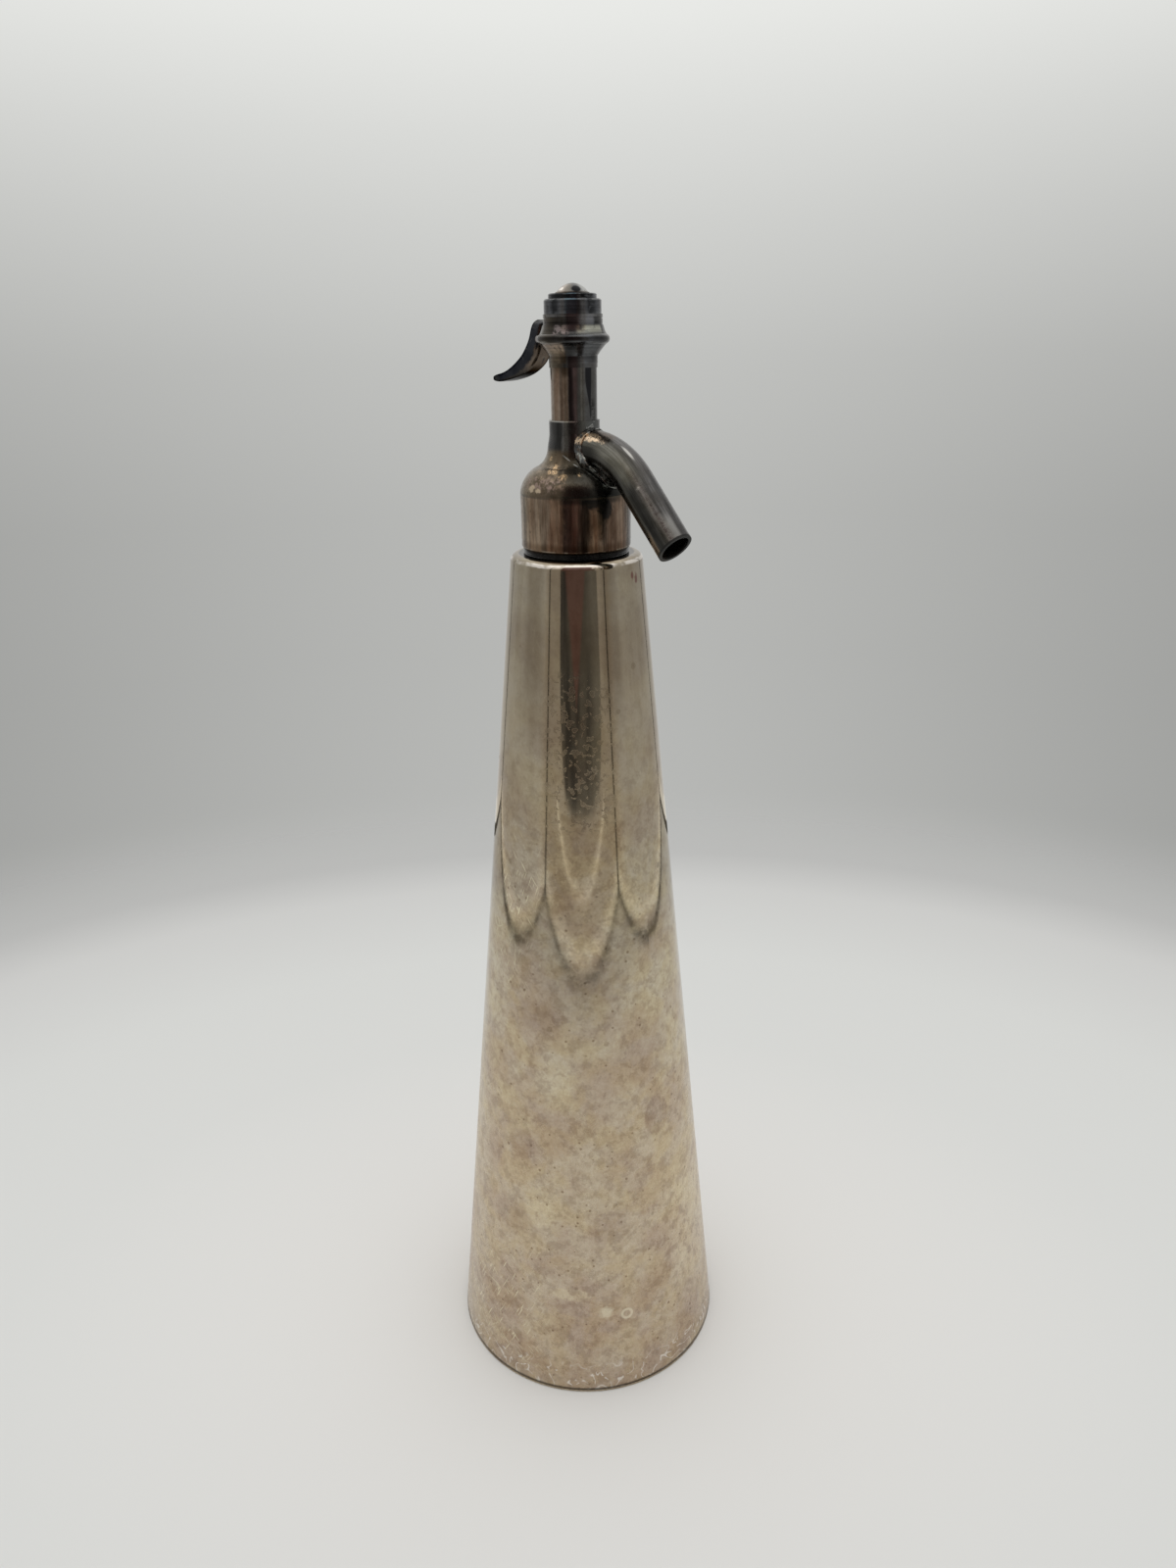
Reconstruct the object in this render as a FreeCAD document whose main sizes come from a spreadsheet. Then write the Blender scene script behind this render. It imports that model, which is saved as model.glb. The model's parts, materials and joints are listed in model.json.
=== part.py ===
import FreeCAD, Part
import math
import operator
import os
import Sketcher

# A soda siphon: a tall silver-plated cone sleeve over a glass bottle, with a screwed-on brass head
# that carries the valve, a bent spout and a horn-shaped thumb lever.
# Origin: centre of the base on the table. +Z up, the spout points along +X, the lever along -X.
# Lengths are millimetres, angles are degrees.

DIMENSIONS = [
    ("base_radius", 54.0, "sleeve radius at the table"),
    ("shoulder_radius", 22.46, "radius of the cone carried on to the sleeve's top face"),
    ("sleeve_height", 327.5, "sleeve alone, above the base rim"),
    ("sleeve_wall", 1.0, "sheet of the sleeve"),
    ("shoulder_round", 2.6, "rounding of the sleeve's top edge"),
    ("rim_height", 1.0, "base rim under the sleeve"),
    ("rim_bevel", 0.5, "bevel of that rim's lower edge"),
    ("skirt_height", 9.0, "base wall that stands inside the sleeve"),
    ("foot_width", 6.0, "ring of the base that rests on the table"),
    ("foot_depth", 3.0, "hollow under the base"),
    ("base_gauge", 1.2, "sheet of the base"),
    ("push_fit", 0.1, "gap between pieces pushed or screwed together"),
    ("loose_fit", 0.3, "gap round a piece that only lies in place"),
    ("pad_height", 2.5, "pad under the bottle"),
    ("pad_inset", 12.0, "edge of the pad from the base's edge"),
    ("bottle_gap", 1.2, "air between sleeve and bottle"),
    ("glass_wall", 3.5, "wall of the bottle"),
    ("heel_radius", 10.0, "rounding at the bottle's bottom"),
    ("punt_height", 3.0, "dome in the bottle's bottom"),
    ("bottle_shoulder", 9.0, "height of the bottle's shoulder"),
    ("shoulder_bulge", 1.35, "bulge of that shoulder"),
    ("lip_clearance", 2.0, "collar round the bead of the bottle's mouth"),
    ("lip_overhang", 2.0, "bead beyond the bottle's neck"),
    ("lip_height", 5.0, "height of that bead"),
    ("lip_bevel", 1.25, "bevel of the bead's top edge"),
    ("mouth_play", 1.1, "gap round the dip tube's nut in the bottle's mouth"),
    ("bush_height", 2.5, "rubber bush between bottle and sleeve top"),
    ("bush_wall", 1.3, "rubber round the neck in the sleeve's hole"),
    ("bush_flange", 4.0, "how far the bush spreads under the sleeve"),
    ("washer_height", 1.9, "black washer between sleeve and collar"),
    ("washer_inset", 0.5, "edge of that washer inside the collar's edge"),
    ("washer_groove", 0.35, "depth of the grooves in its edge"),
    ("washer_ribs", 3, "ribs round its edge"),
    ("collar_radius", 18.5, "outside of the collar"),
    ("collar_height", 18.1, "height of the collar"),
    ("collar_wall", 1.9, "wall of the collar"),
    ("collar_floor", 2.0, "flange at the foot of the collar"),
    ("collar_round", 1.0, "rounding of the collar's lower edge"),
    ("neck_clearance", 0.6, "collar flange round the neck"),
    ("split_height", 6.0, "height of the split ring under the bead"),
    ("split_gap", 2.0, "angle left open at each end of a half ring"),
    ("gasket_height", 2.0, "gasket on the bottle's mouth"),
    ("dome_inset", 0.1, "foot of the head's dome inside the collar's edge"),
    ("dome_step", 0.6, "upright edge below the dome"),
    ("dome_waist_inset", 6.05, "from the dome's edge in to where it turns concave"),
    ("dome_waist_height", 8.4, "height of that turn above the collar"),
    ("dome_neck_radius", 9.05, "top of the dome"),
    ("dome_height", 13.6, "height of the dome above the collar"),
    ("dome_crown", 1.25, "bulge of the dome's convex arc"),
    ("dome_throat", 0.75, "hollow of the dome's concave arc"),
    ("neck_taper", 4.7, "height of the taper between dome and socket"),
    ("socket_radius", 8.3, "socket that takes the barrel"),
    ("socket_height", 22.9, "top of the socket above the collar"),
    ("skirt_wall", 1.5, "threaded skirt of the head inside the collar"),
    ("skirt_gap", 1.2, "skirt above the bottle bead's underside"),
    ("tube_radius", 3.0, "outside of the dip tube"),
    ("tube_bore", 1.8, "bore of the dip tube"),
    ("tube_foot", 7.0, "room under the dip tube"),
    ("tube_entry", 6.1, "dip tube inside the head"),
    ("ferrule_radius", 7.9, "flange of the dip tube's nut"),
    ("ferrule_flange", 2.5, "thickness of that flange"),
    ("ferrule_height", 8.0, "height of the nut"),
    ("ferrule_wall", 1.5, "wall of the nut round its seal"),
    ("seal_height", 4.0, "rubber seal round the dip tube"),
    ("seal_wall", 2.0, "width of that seal"),
    ("seat_floor", 3.0, "metal between dip tube and valve seat"),
    ("chamber_radius", 5.2, "valve chamber"),
    ("seat_height", 3.8, "valve seat to the top of its lip"),
    ("seat_lip", 1.3, "height of the lip"),
    ("lip_land", 0.8, "width of the lip's top"),
    ("lip_flare", 0.65, "how far the lip spreads to its foot"),
    ("spout_level", 14.35, "centre of the spout's root above the collar"),
    ("spout_port", 3.0, "radius of the port behind the spout"),
    ("spout_radius", 5.95, "outside of the spout"),
    ("spout_wall", 1.1, "wall of the spout"),
    ("spout_lead", 7.3, "level stretch of the spout from the axis"),
    ("spout_bend", 28.2, "radius of the spout's bend"),
    ("spout_angle", 47.3, "turn of the spout's bend"),
    ("spout_run", 25.8, "straight run of the spout to its mouth"),
    ("mouth_tilt", 5.5, "how much longer the underside is cut at the mouth, as an angle"),
    ("bead_width", 0.4, "solder on the spout round its root"),
    ("bead_sag", 2.4, "how much lower the solder under the spout hangs"),
    ("bead_height", 2.4, "solder on the head round the spout"),
    ("bead_lift", 1.0, "how much higher the solder climbs than the head's form"),
    ("barrel_radius", 7.55, "visible barrel tube"),
    ("barrel_height", 16.0, "visible length of the barrel"),
    ("barrel_screw", 5.0, "barrel inside the socket"),
    ("barrel_wall", 2.55, "barrel wall round the packing"),
    ("thread_depth", 0.65, "barrel radius lost to its lower thread"),
    ("spigot_depth", 1.0, "barrel radius lost to its upper thread"),
    ("guide_height", 6.0, "length of the barrel's stem guide"),
    ("guide_level", 7.6, "start of the guide above the barrel's foot"),
    ("guide_relief", 1.2, "barrel wall left below the guide"),
    ("stem_radius", 2.2, "stem of the valve plunger"),
    ("running_fit", 0.08, "radial play of the stem"),
    ("packing_height", 4.0, "rubber packing round the stem"),
    ("gland_height", 5.0, "bush that presses the packing"),
    ("gland_play", 0.3, "gap between gland and stem"),
    ("lock_height", 1.4, "lock ring below the housing"),
    ("lock_radius", 7.8, "outside of the lock ring"),
    ("housing_spigot", 4.2, "barrel inside lock ring and housing"),
    ("sleeve_end_radius", 7.85, "lower end of the lever housing"),
    ("sleeve_end_height", 2.1, "its upright part"),
    ("bulge_radius", 11.75, "widest part of the housing"),
    ("bulge_level", 7.1, "height of the widest part above the housing's foot"),
    ("bulge_edge", 1.45, "half height of the rounded edge there"),
    ("bulge_round", 1.0, "how far that edge bulges out"),
    ("flare_hollow", 0.1, "hollow of the flare below the bulge"),
    ("crown_hollow", 0.1, "hollow of the curve above the bulge"),
    ("housing_radius", 9.5, "upright top of the housing"),
    ("housing_height", 14.4, "height of the housing"),
    ("ring_height", 3.2, "upright band under the cap"),
    ("ring_line", 1.1, "line in that band below its top"),
    ("ring_groove", 0.25, "depth and height of that line"),
    ("cage_radius", 5.9, "chamber in the housing"),
    ("cap_bore", 7.7, "bore that takes the cap"),
    ("cap_bore_depth", 3.9, "depth of that bore"),
    ("cap_seal_height", 1.0, "fibre seal under the cap"),
    ("cap_radius", 9.15, "outside of the cap"),
    ("cap_height", 4.4, "visible height of the cap"),
    ("cap_wall", 2.0, "wall of the cap's spigot"),
    ("cap_chamfer", 0.4, "bevel of the cap's top edge"),
    ("disc_radius", 7.7, "disc on the cap"),
    ("disc_height", 1.6, "height of the disc"),
    ("disc_bevel", 0.3, "bevel of the disc's edge"),
    ("plug_depth", 2.0, "plug of the disc inside the cap"),
    ("button_radius", 5.5, "domed button"),
    ("button_rim", 0.35, "flat rim of the button"),
    ("button_rise", 2.75, "height of the dome on its rim"),
    ("button_land", 0.4, "width of the flat rim"),
    ("shank_radius", 1.5, "shank of the button"),
    ("shank_depth", 2.4, "depth of the shank in the disc"),
    ("foot_radius", 3.8, "foot of the plunger"),
    ("foot_height", 3.5, "upright part of that foot"),
    ("foot_taper", 2.5, "cone from the foot to the stem"),
    ("disc_seal_radius", 3.0, "rubber valve washer"),
    ("disc_seal_height", 2.0, "height of the valve washer"),
    ("disc_seal_proud", 0.7, "how far it stands out of the foot"),
    ("head_radius", 4.4, "crosshead of the plunger"),
    ("head_gap", 0.3, "gap under the crosshead"),
    ("head_height", 7.1, "height of the crosshead"),
    ("pilot_radius", 2.5, "pilot inside the spring"),
    ("pilot_height", 1.2, "height of that pilot"),
    ("mortise_half", 1.7, "half width of the crosshead's mortise"),
    ("mortise_drop", 2.8, "mortise below the toe's centre"),
    ("mortise_back", 2.0, "mortise beyond the toe's centre"),
    ("pivot_reach", 9.0, "lever pivot from the axis"),
    ("pivot_height", 7.2, "lever pivot above the housing's foot"),
    ("toe_arm", 8.0, "toe from the pivot"),
    ("toe_radius", 1.5, "round end of the toe"),
    ("toe_gap", 0.1, "play between toe and mortise"),
    ("toe_half", 1.5, "half width of the toe"),
    ("toe_neck", 0.8, "half height of the arm behind the toe"),
    ("boss_radius", 2.3, "boss round the pin"),
    ("horn_start", 14.4, "horn's top end from the axis"),
    ("horn_rise", 6.0, "horn's top end above the pivot"),
    ("horn_reach", 25.7, "horn's tip beyond its top end"),
    ("horn_drop", 18.6, "horn's tip below its top end"),
    ("horn_thickness", 5.6, "full thickness of the horn"),
    ("horn_width", 8.2, "full width of the horn"),
    ("horn_softness", 0.75, "rounding of the horn's section, as a share of half its thickness"),
    ("stem_half", 2.0, "half width of the lever's stem"),
    ("stem_height", 2.1, "half height of that stem"),
    ("stem_reach", 15.5, "stem's buried end from the axis"),
    ("slot_play", 0.2, "play beside the stem in the slot"),
    ("slot_below", 3.5, "slot below the pivot"),
    ("slot_above", 3.1, "slot above the pivot"),
    ("pin_radius", 1.0, "lever pin"),
    ("pin_half", 7.3, "half length of the pin"),
    ("pin_press", 0.02, "play of the pin in the housing"),
    ("pin_play", 0.06, "play of the lever on the pin"),
    ("wire_radius", 0.35, "wire of the return spring"),
    ("spring_radius", 3.3, "mean radius of the spring"),
    ("spring_turns", 4.5, "turns of the spring"),
    ("wire_gap", 0.02, "gap between the spring's end and its seat"),
]

doc = FreeCAD.newDocument("SodaSiphon")
sheet = doc.addObject("Spreadsheet::Sheet", "Sizes")
for row, (alias, number, meaning) in enumerate(DIMENSIONS, start=1):
    sheet.set(f"A{row}", meaning)
    sheet.set(f"B{row}", str(number))
    sheet.setAlias(f"B{row}", alias)
doc.recompute()

OPERATORS = {"+": operator.add, "-": operator.sub, "*": operator.mul, "/": operator.truediv}


class Size:
    """A size that knows both its number and the spreadsheet expression that gives it."""

    def __init__(self, number, text):
        self.number = number
        self.text = text

    def __add__(self, other):
        return joined(self, "+", other)

    def __radd__(self, other):
        return joined(other, "+", self)

    def __sub__(self, other):
        return joined(self, "-", other)

    def __rsub__(self, other):
        return joined(other, "-", self)

    def __mul__(self, other):
        return joined(self, "*", other)

    def __rmul__(self, other):
        return joined(other, "*", self)

    def __truediv__(self, other):
        return joined(self, "/", other)

    def __neg__(self):
        return joined(0, "-", self)


def as_size(value):
    return value if isinstance(value, Size) else Size(float(value), str(value))


def joined(left, sign, right):
    left, right = as_size(left), as_size(right)
    number = OPERATORS[sign](left.number, right.number)
    return Size(number, f"({left.text} {sign} {right.text})")


def sine(angle):
    return Size(math.sin(math.radians(angle.number)), f"sin({angle.text})")


def cosine(angle):
    return Size(math.cos(math.radians(angle.number)), f"cos({angle.text})")


def root(square):
    return Size(math.sqrt(square.number), f"sqrt({square.text})")


def quarter_rise(radius):
    """How far a quarter of a circle bulges from its chord."""
    return radius * (1 - math.sqrt(0.5))


def cap_rise(radius, height):
    """How far the arc of a ball's cap bulges from its chord, from the cap's rim to its top."""
    chord_square = radius * radius + height * height
    ball = chord_square / (2 * height)
    return ball - root(ball * ball - chord_square / 4)


def bind(thing, name, size):
    """Give a property its size and tie it to the sheet."""
    thing.setExpression(name, as_size(size).text)


# Every driving dimension as a name of its own in one place: d.base_radius and so on.
class Dimensions:
    pass


d = Dimensions()
for alias, number, meaning in DIMENSIONS:
    setattr(d, alias, Size(float(sheet.get(alias)), "Sizes." + alias))


def origin_plane(body, role):
    for plane in body.Origin.OriginFeatures:
        if plane.Role == role:
            return plane


def new_body(label):
    body = doc.addObject("PartDesign::Body", label)
    body.Label = label
    return body


def new_sketch(body, name, role):
    sketch = body.newObject("Sketcher::SketchObject", name)
    sketch.AttachmentSupport = (origin_plane(body, role), [""])
    sketch.MapMode = "FlatFace"
    return sketch


def tie(sketch, kind, places, size):
    """Add a measured constraint and tie it to the sheet."""
    size = as_size(size)
    index = sketch.addConstraint(Sketcher.Constraint(kind, *places, size.number))
    name = f"size{index}"
    sketch.renameConstraint(index, name)
    sketch.setExpression("Constraints." + name, size.text)


def tie_point(sketch, geometry, end, across, up):
    tie(sketch, "DistanceX", (-1, 1, geometry, end), across)
    tie(sketch, "DistanceY", (-1, 1, geometry, end), up)


def draw(sketch, corners, closed=True):
    """Draw an outline through corners (across, up) or (across, up, rise).
    A rise makes the stretch that arrives at the corner an arc that bulges by that much,
    to the right of the way the outline runs, or to the left where the rise is negative."""
    corners = [tuple(as_size(value) for value in corner) for corner in corners]
    spots = [FreeCAD.Vector(corner[0].number, corner[1].number, 0) for corner in corners]
    first = 0 if closed else 1
    ends = []
    for i in range(first, len(corners)):
        start, finish = spots[i - 1], spots[i]
        if len(corners[i]) == 2:
            geometry = sketch.addGeometry(Part.LineSegment(start, finish), False)
            ends.append((geometry, 1, 2))
            continue
        rise = corners[i][2]
        chord = finish - start
        side = FreeCAD.Vector(chord.y, -chord.x, 0).normalize()
        middle = (start + finish) * 0.5 + side * rise.number
        geometry = sketch.addGeometry(Part.Arc(start, middle, finish), False)
        ends.append((geometry, 1, 2) if rise.number > 0 else (geometry, 2, 1))
        across = corners[i][0] - corners[i - 1][0]
        up = corners[i][1] - corners[i - 1][1]
        height = rise if rise.number > 0 else -rise
        tie(sketch, "Radius", (geometry,), (across * across + up * up) / (8 * height) + height / 2)
    for i, (geometry, start_end, finish_end) in enumerate(ends):
        tie_point(sketch, geometry, finish_end, *corners[i + first][:2])
        if i or closed:
            before = ends[i - 1]
            joint = Sketcher.Constraint("Coincident", before[0], before[2], geometry, start_end)
            sketch.addConstraint(joint)
    if not closed:
        tie_point(sketch, ends[0][0], ends[0][1], *corners[0][:2])


def draw_circle(sketch, across, up, radius):
    centre = FreeCAD.Vector(as_size(across).number, as_size(up).number, 0)
    round_line = Part.Circle(centre, FreeCAD.Vector(0, 0, 1), radius.number)
    geometry = sketch.addGeometry(round_line, False)
    tie_point(sketch, geometry, 3, across, up)
    tie(sketch, "Radius", (geometry,), radius)


def turned(label, corners, angle=360):
    """A piece turned about the upright axis from its outline (radius, height)."""
    body = new_body(label)
    sketch = new_sketch(body, label + "_outline", "XZ_Plane")
    draw(sketch, corners)
    feature = body.newObject("PartDesign::Revolution", label + "_turned")
    feature.Profile = sketch
    feature.ReferenceAxis = (sketch, ["V_Axis"])
    bind(feature, "Angle", angle)
    return body


def ring(label, inner, outer, bottom, top):
    return turned(label, [(inner, bottom), (outer, bottom), (outer, top), (inner, top)])


def checked(body, change):
    """Run a change to a body and make sure that it took material away or added some."""
    doc.recompute()
    before = body.Shape.Volume
    change()
    doc.recompute()
    if abs(body.Shape.Volume - before) < 0.01:
        raise RuntimeError(body.Label + ": a feature changed nothing")


def pocket(body, sketch, depth, midplane=False, backwards=False):
    def cut():
        feature = body.newObject("PartDesign::Pocket", sketch.Name + "_cut")
        feature.Profile = sketch
        feature.Midplane = midplane
        feature.Reversed = backwards
        bind(feature, "Length", depth)
    checked(body, cut)


def pad(body, sketch, depth):
    feature = body.newObject("PartDesign::Pad", sketch.Name + "_pad")
    feature.Profile = sketch
    feature.Midplane = True
    bind(feature, "Length", depth)


def edge_at(shape, height, radius):
    """Name of the round edge of this radius at this height."""
    for i, edge in enumerate(shape.Edges, start=1):
        if not isinstance(edge.Curve, Part.Circle):
            continue
        if abs(edge.Curve.Center.z - height) < 0.001 and abs(edge.Curve.Radius - radius) < 0.001:
            return f"Edge{i}"
    raise RuntimeError("no such edge")


def face_at(shape, height):
    """Name of the level face at this height."""
    for i, face in enumerate(shape.Faces, start=1):
        if isinstance(face.Surface, Part.Plane) and abs(face.CenterOfMass.z - height) < 0.001:
            return f"Face{i}"
    raise RuntimeError("no such face")


def boolean(kind, label, base, tool):
    result = doc.addObject("Part::" + kind, label)
    result.Label = label
    result.Base = base
    result.Tool = tool
    return result


# Levels up the siphon, from the table to the button.
sleeve_top = d.rim_height + d.sleeve_height
collar_foot = sleeve_top + d.washer_height
split_foot = collar_foot + d.collar_floor
lip_foot = split_foot + d.split_height
mouth_level = lip_foot + d.lip_height
head_under = mouth_level + d.gasket_height
collar_top = collar_foot + d.collar_height
tube_top = head_under + d.tube_entry
seat_foot = tube_top + d.seat_floor
seat_top = seat_foot + d.seat_height
socket_top = collar_top + d.socket_height
barrel_foot = socket_top - d.barrel_screw
barrel_shoulder = socket_top + d.barrel_height
barrel_top = barrel_shoulder + d.housing_spigot
housing_foot = barrel_shoulder + d.lock_height
housing_top = housing_foot + d.housing_height
pivot_level = housing_foot + d.pivot_height
cap_bore_floor = housing_top - d.cap_bore_depth
cap_top = housing_top + d.cap_height
disc_top = cap_top + d.disc_height
spring_top = cap_top - d.plug_depth
guide_foot = barrel_foot + d.guide_level
packing_foot = guide_foot + d.guide_height
gland_foot = packing_foot + d.packing_height
head_foot = barrel_top + d.head_gap
head_top = head_foot + d.head_height
spout_centre = collar_top + d.spout_level
bottle_foot = d.foot_depth + d.base_gauge + d.pad_height
bottle_ledge = sleeve_top - d.sleeve_wall - d.bush_height

# The bottle's mouth is as large as the collar lets it be, and the neck follows from it.
collar_bore = d.collar_radius - d.collar_wall
lip_radius = collar_bore - d.lip_clearance
neck_radius = lip_radius - d.lip_overhang
mouth_radius = d.ferrule_radius + d.mouth_play
dome_radius = d.collar_radius - d.dome_inset
spigot_radius = d.barrel_radius - d.spigot_depth

# The spout's centre line: level out of the head, bent down, then straight to the mouth.
bend_reach = d.spout_lead + d.spout_bend * sine(d.spout_angle)
bend_drop = d.spout_bend * (1 - cosine(d.spout_angle))
mouth_reach = bend_reach + d.spout_run * cosine(d.spout_angle)
mouth_drop = bend_drop + d.spout_run * sine(d.spout_angle)

# Longer than any piece is wide, for a cut that goes right through.
through = 2 * d.base_radius


def cone_radius(height):
    """Outside of the sleeve at a height."""
    return d.base_radius - (d.base_radius - d.shoulder_radius) * height / sleeve_top


def outer_sleeve():
    """Spun cone: a solid cone with a rounded top edge, shelled from below, then holed for the neck."""
    body = turned("outer_sleeve", [
        (0, d.rim_height),
        (cone_radius(d.rim_height), d.rim_height),
        (d.shoulder_radius, sleeve_top),
        (0, sleeve_top),
    ])
    doc.recompute()
    cone = body.Tip
    rounding = body.newObject("PartDesign::Fillet", "shoulder_fillet")
    rounding.Base = (cone, [edge_at(cone.Shape, sleeve_top.number, d.shoulder_radius.number)])
    bind(rounding, "Radius", d.shoulder_round)
    doc.recompute()
    shell = body.newObject("PartDesign::Thickness", "sleeve_shell")
    shell.Base = (rounding, [face_at(rounding.Shape, d.rim_height.number)])
    bind(shell, "Value", d.sleeve_wall)
    shell.Reversed = True
    hole = new_sketch(body, "neck_hole", "XY_Plane")
    draw_circle(hole, 0, 0, neck_radius + d.bush_wall + d.push_fit)
    pocket(body, hole, sleeve_top + d.sleeve_wall, backwards=True)
    return body


def base_plate():
    """Pressed base: rim under the sleeve, foot ring, hollow and a wall that stands in the sleeve."""
    wall_outer = cone_radius(d.rim_height) - d.sleeve_wall - d.push_fit
    wall_top = d.rim_height + d.skirt_height
    wall_top_outer = cone_radius(wall_top) - d.sleeve_wall - d.push_fit
    foot_inner = d.base_radius - d.foot_width
    floor_top = d.foot_depth + d.base_gauge
    return turned("base_plate", [
        (0, d.foot_depth),
        (foot_inner - d.foot_depth, d.foot_depth),
        (foot_inner, 0),
        (d.base_radius - d.rim_bevel, 0),
        (d.base_radius, d.rim_bevel),
        (cone_radius(d.rim_height), d.rim_height),
        (wall_outer, d.rim_height),
        (wall_top_outer, wall_top),
        (wall_top_outer - d.base_gauge, wall_top),
        (wall_top_outer - d.base_gauge, floor_top),
        (0, floor_top),
    ])


def bottle_pad():
    bottom = d.foot_depth + d.base_gauge
    return ring("bottle_pad", as_size(0), d.base_radius - d.pad_inset, bottom, bottom + d.pad_height)


def glass_bottle():
    """Bottle that follows the sleeve's cone, with a punt, a shoulder, a ledge, a neck and a mouth bead."""
    gap = d.sleeve_wall + d.bottle_gap
    heel_top = bottle_foot + d.heel_radius
    cone_top = bottle_ledge - d.bottle_shoulder
    heel = cone_radius(heel_top) - gap
    shoulder = cone_radius(cone_top) - gap
    punt = heel - d.heel_radius
    punt_rise = cap_rise(punt, d.punt_height)
    return turned("glass_bottle", [
        (0, bottle_foot + d.punt_height),
        (punt, bottle_foot, -punt_rise),
        (heel, heel_top, quarter_rise(d.heel_radius)),
        (shoulder, cone_top),
        (neck_radius + d.bush_flange, bottle_ledge, d.shoulder_bulge),
        (neck_radius, bottle_ledge),
        (neck_radius, lip_foot),
        (lip_radius, lip_foot),
        (lip_radius, mouth_level - d.lip_bevel),
        (lip_radius - d.lip_bevel, mouth_level),
        (mouth_radius, mouth_level),
        (mouth_radius, bottle_ledge - d.glass_wall),
        (shoulder - d.glass_wall, cone_top - d.glass_wall),
        (heel - d.glass_wall, heel_top),
        (punt, bottle_foot + d.glass_wall),
        (0, bottle_foot + d.glass_wall + d.punt_height, punt_rise),
    ])


def sleeve_bush():
    """Rubber bush: a flange on the bottle's ledge and a ring in the sleeve's hole."""
    inner = neck_radius + d.push_fit
    outer = neck_radius + d.bush_wall
    flange_top = sleeve_top - d.sleeve_wall
    return turned("sleeve_bush", [
        (inner, bottle_ledge),
        (inner + d.bush_flange, bottle_ledge),
        (inner + d.bush_flange, flange_top),
        (outer, flange_top),
        (outer, sleeve_top),
        (inner, sleeve_top),
    ])


def sleeve_washer():
    """Black washer with fine ribs round its edge."""
    inner = neck_radius + d.neck_clearance
    outer = d.collar_radius - d.washer_inset
    groove = outer - d.washer_groove
    rib_height = d.washer_height / d.washer_ribs
    corners = [(inner, sleeve_top), (groove, sleeve_top)]
    for rib in range(round(d.washer_ribs.number)):
        corners.append((outer, sleeve_top + rib_height * (rib + 0.5)))
        corners.append((groove, sleeve_top + rib_height * (rib + 1)))
    corners.append((inner, collar_foot))
    return turned("sleeve_washer", corners)


def neck_collar():
    hole = neck_radius + d.neck_clearance
    return turned("neck_collar", [
        (hole, collar_foot),
        (d.collar_radius - d.collar_round, collar_foot),
        (d.collar_radius, collar_foot + d.collar_round, quarter_rise(d.collar_round)),
        (d.collar_radius, collar_top),
        (collar_bore, collar_top),
        (collar_bore, split_foot),
        (hole, split_foot),
    ])


def split_ring(label, turn):
    """One half of the ring that hooks under the bottle's bead."""
    inner = neck_radius + d.push_fit
    outer = collar_bore - d.loose_fit
    corners = [(inner, split_foot), (outer, split_foot), (outer, lip_foot), (inner, lip_foot)]
    body = turned(label, corners, 180 - 2 * d.split_gap)
    body.Placement = FreeCAD.Placement(FreeCAD.Vector(), FreeCAD.Rotation(FreeCAD.Vector(0, 0, 1), 0))
    bind(body, "Placement.Rotation.Angle", turn + d.split_gap)
    return body


def neck_gasket():
    inner = d.ferrule_radius + d.loose_fit
    return ring("neck_gasket", inner, lip_radius - d.push_fit, mouth_level, head_under)


def tube_ferrule():
    """Nut that holds the dip tube and its seal against the head."""
    cup = d.tube_radius + d.seal_wall
    seal_foot = head_under - d.seal_height
    return turned("tube_ferrule", [
        (d.tube_radius + d.push_fit, head_under - d.ferrule_height),
        (cup + d.ferrule_wall, head_under - d.ferrule_height),
        (cup + d.ferrule_wall, head_under - d.ferrule_flange),
        (d.ferrule_radius, head_under - d.ferrule_flange),
        (d.ferrule_radius, head_under),
        (cup, head_under),
        (cup, seal_foot),
        (d.tube_radius + d.push_fit, seal_foot),
    ])


def tube_seal():
    inner = d.tube_radius + d.push_fit / 2
    outer = d.tube_radius + d.seal_wall - d.push_fit / 2
    return ring("tube_seal", inner, outer, head_under - d.seal_height, head_under)


def dip_tube():
    bottle_floor = bottle_foot + d.glass_wall + d.punt_height
    return ring("dip_tube", d.tube_bore, d.tube_radius, bottle_floor + d.tube_foot, tube_top)


def dome_outline(growth, lift):
    """Outside of the head from the collar's top to the socket's top, or that form grown and lifted."""
    return [
        (dome_radius + growth, collar_top),
        (dome_radius + growth, collar_top + d.dome_step + lift),
        (dome_radius - d.dome_waist_inset + growth, collar_top + d.dome_waist_height + lift, d.dome_crown),
        (d.dome_neck_radius + growth, collar_top + d.dome_height + lift, -d.dome_throat),
        (d.socket_radius + growth, collar_top + d.dome_height + d.neck_taper + lift),
        (d.socket_radius + growth, socket_top),
    ]


def dome_form(label, growth, lift):
    """The head's outer form alone, as a solid that shapes the pieces soldered to it."""
    return turned(label, [(0, collar_top), *dome_outline(growth, lift), (0, socket_top)])


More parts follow.
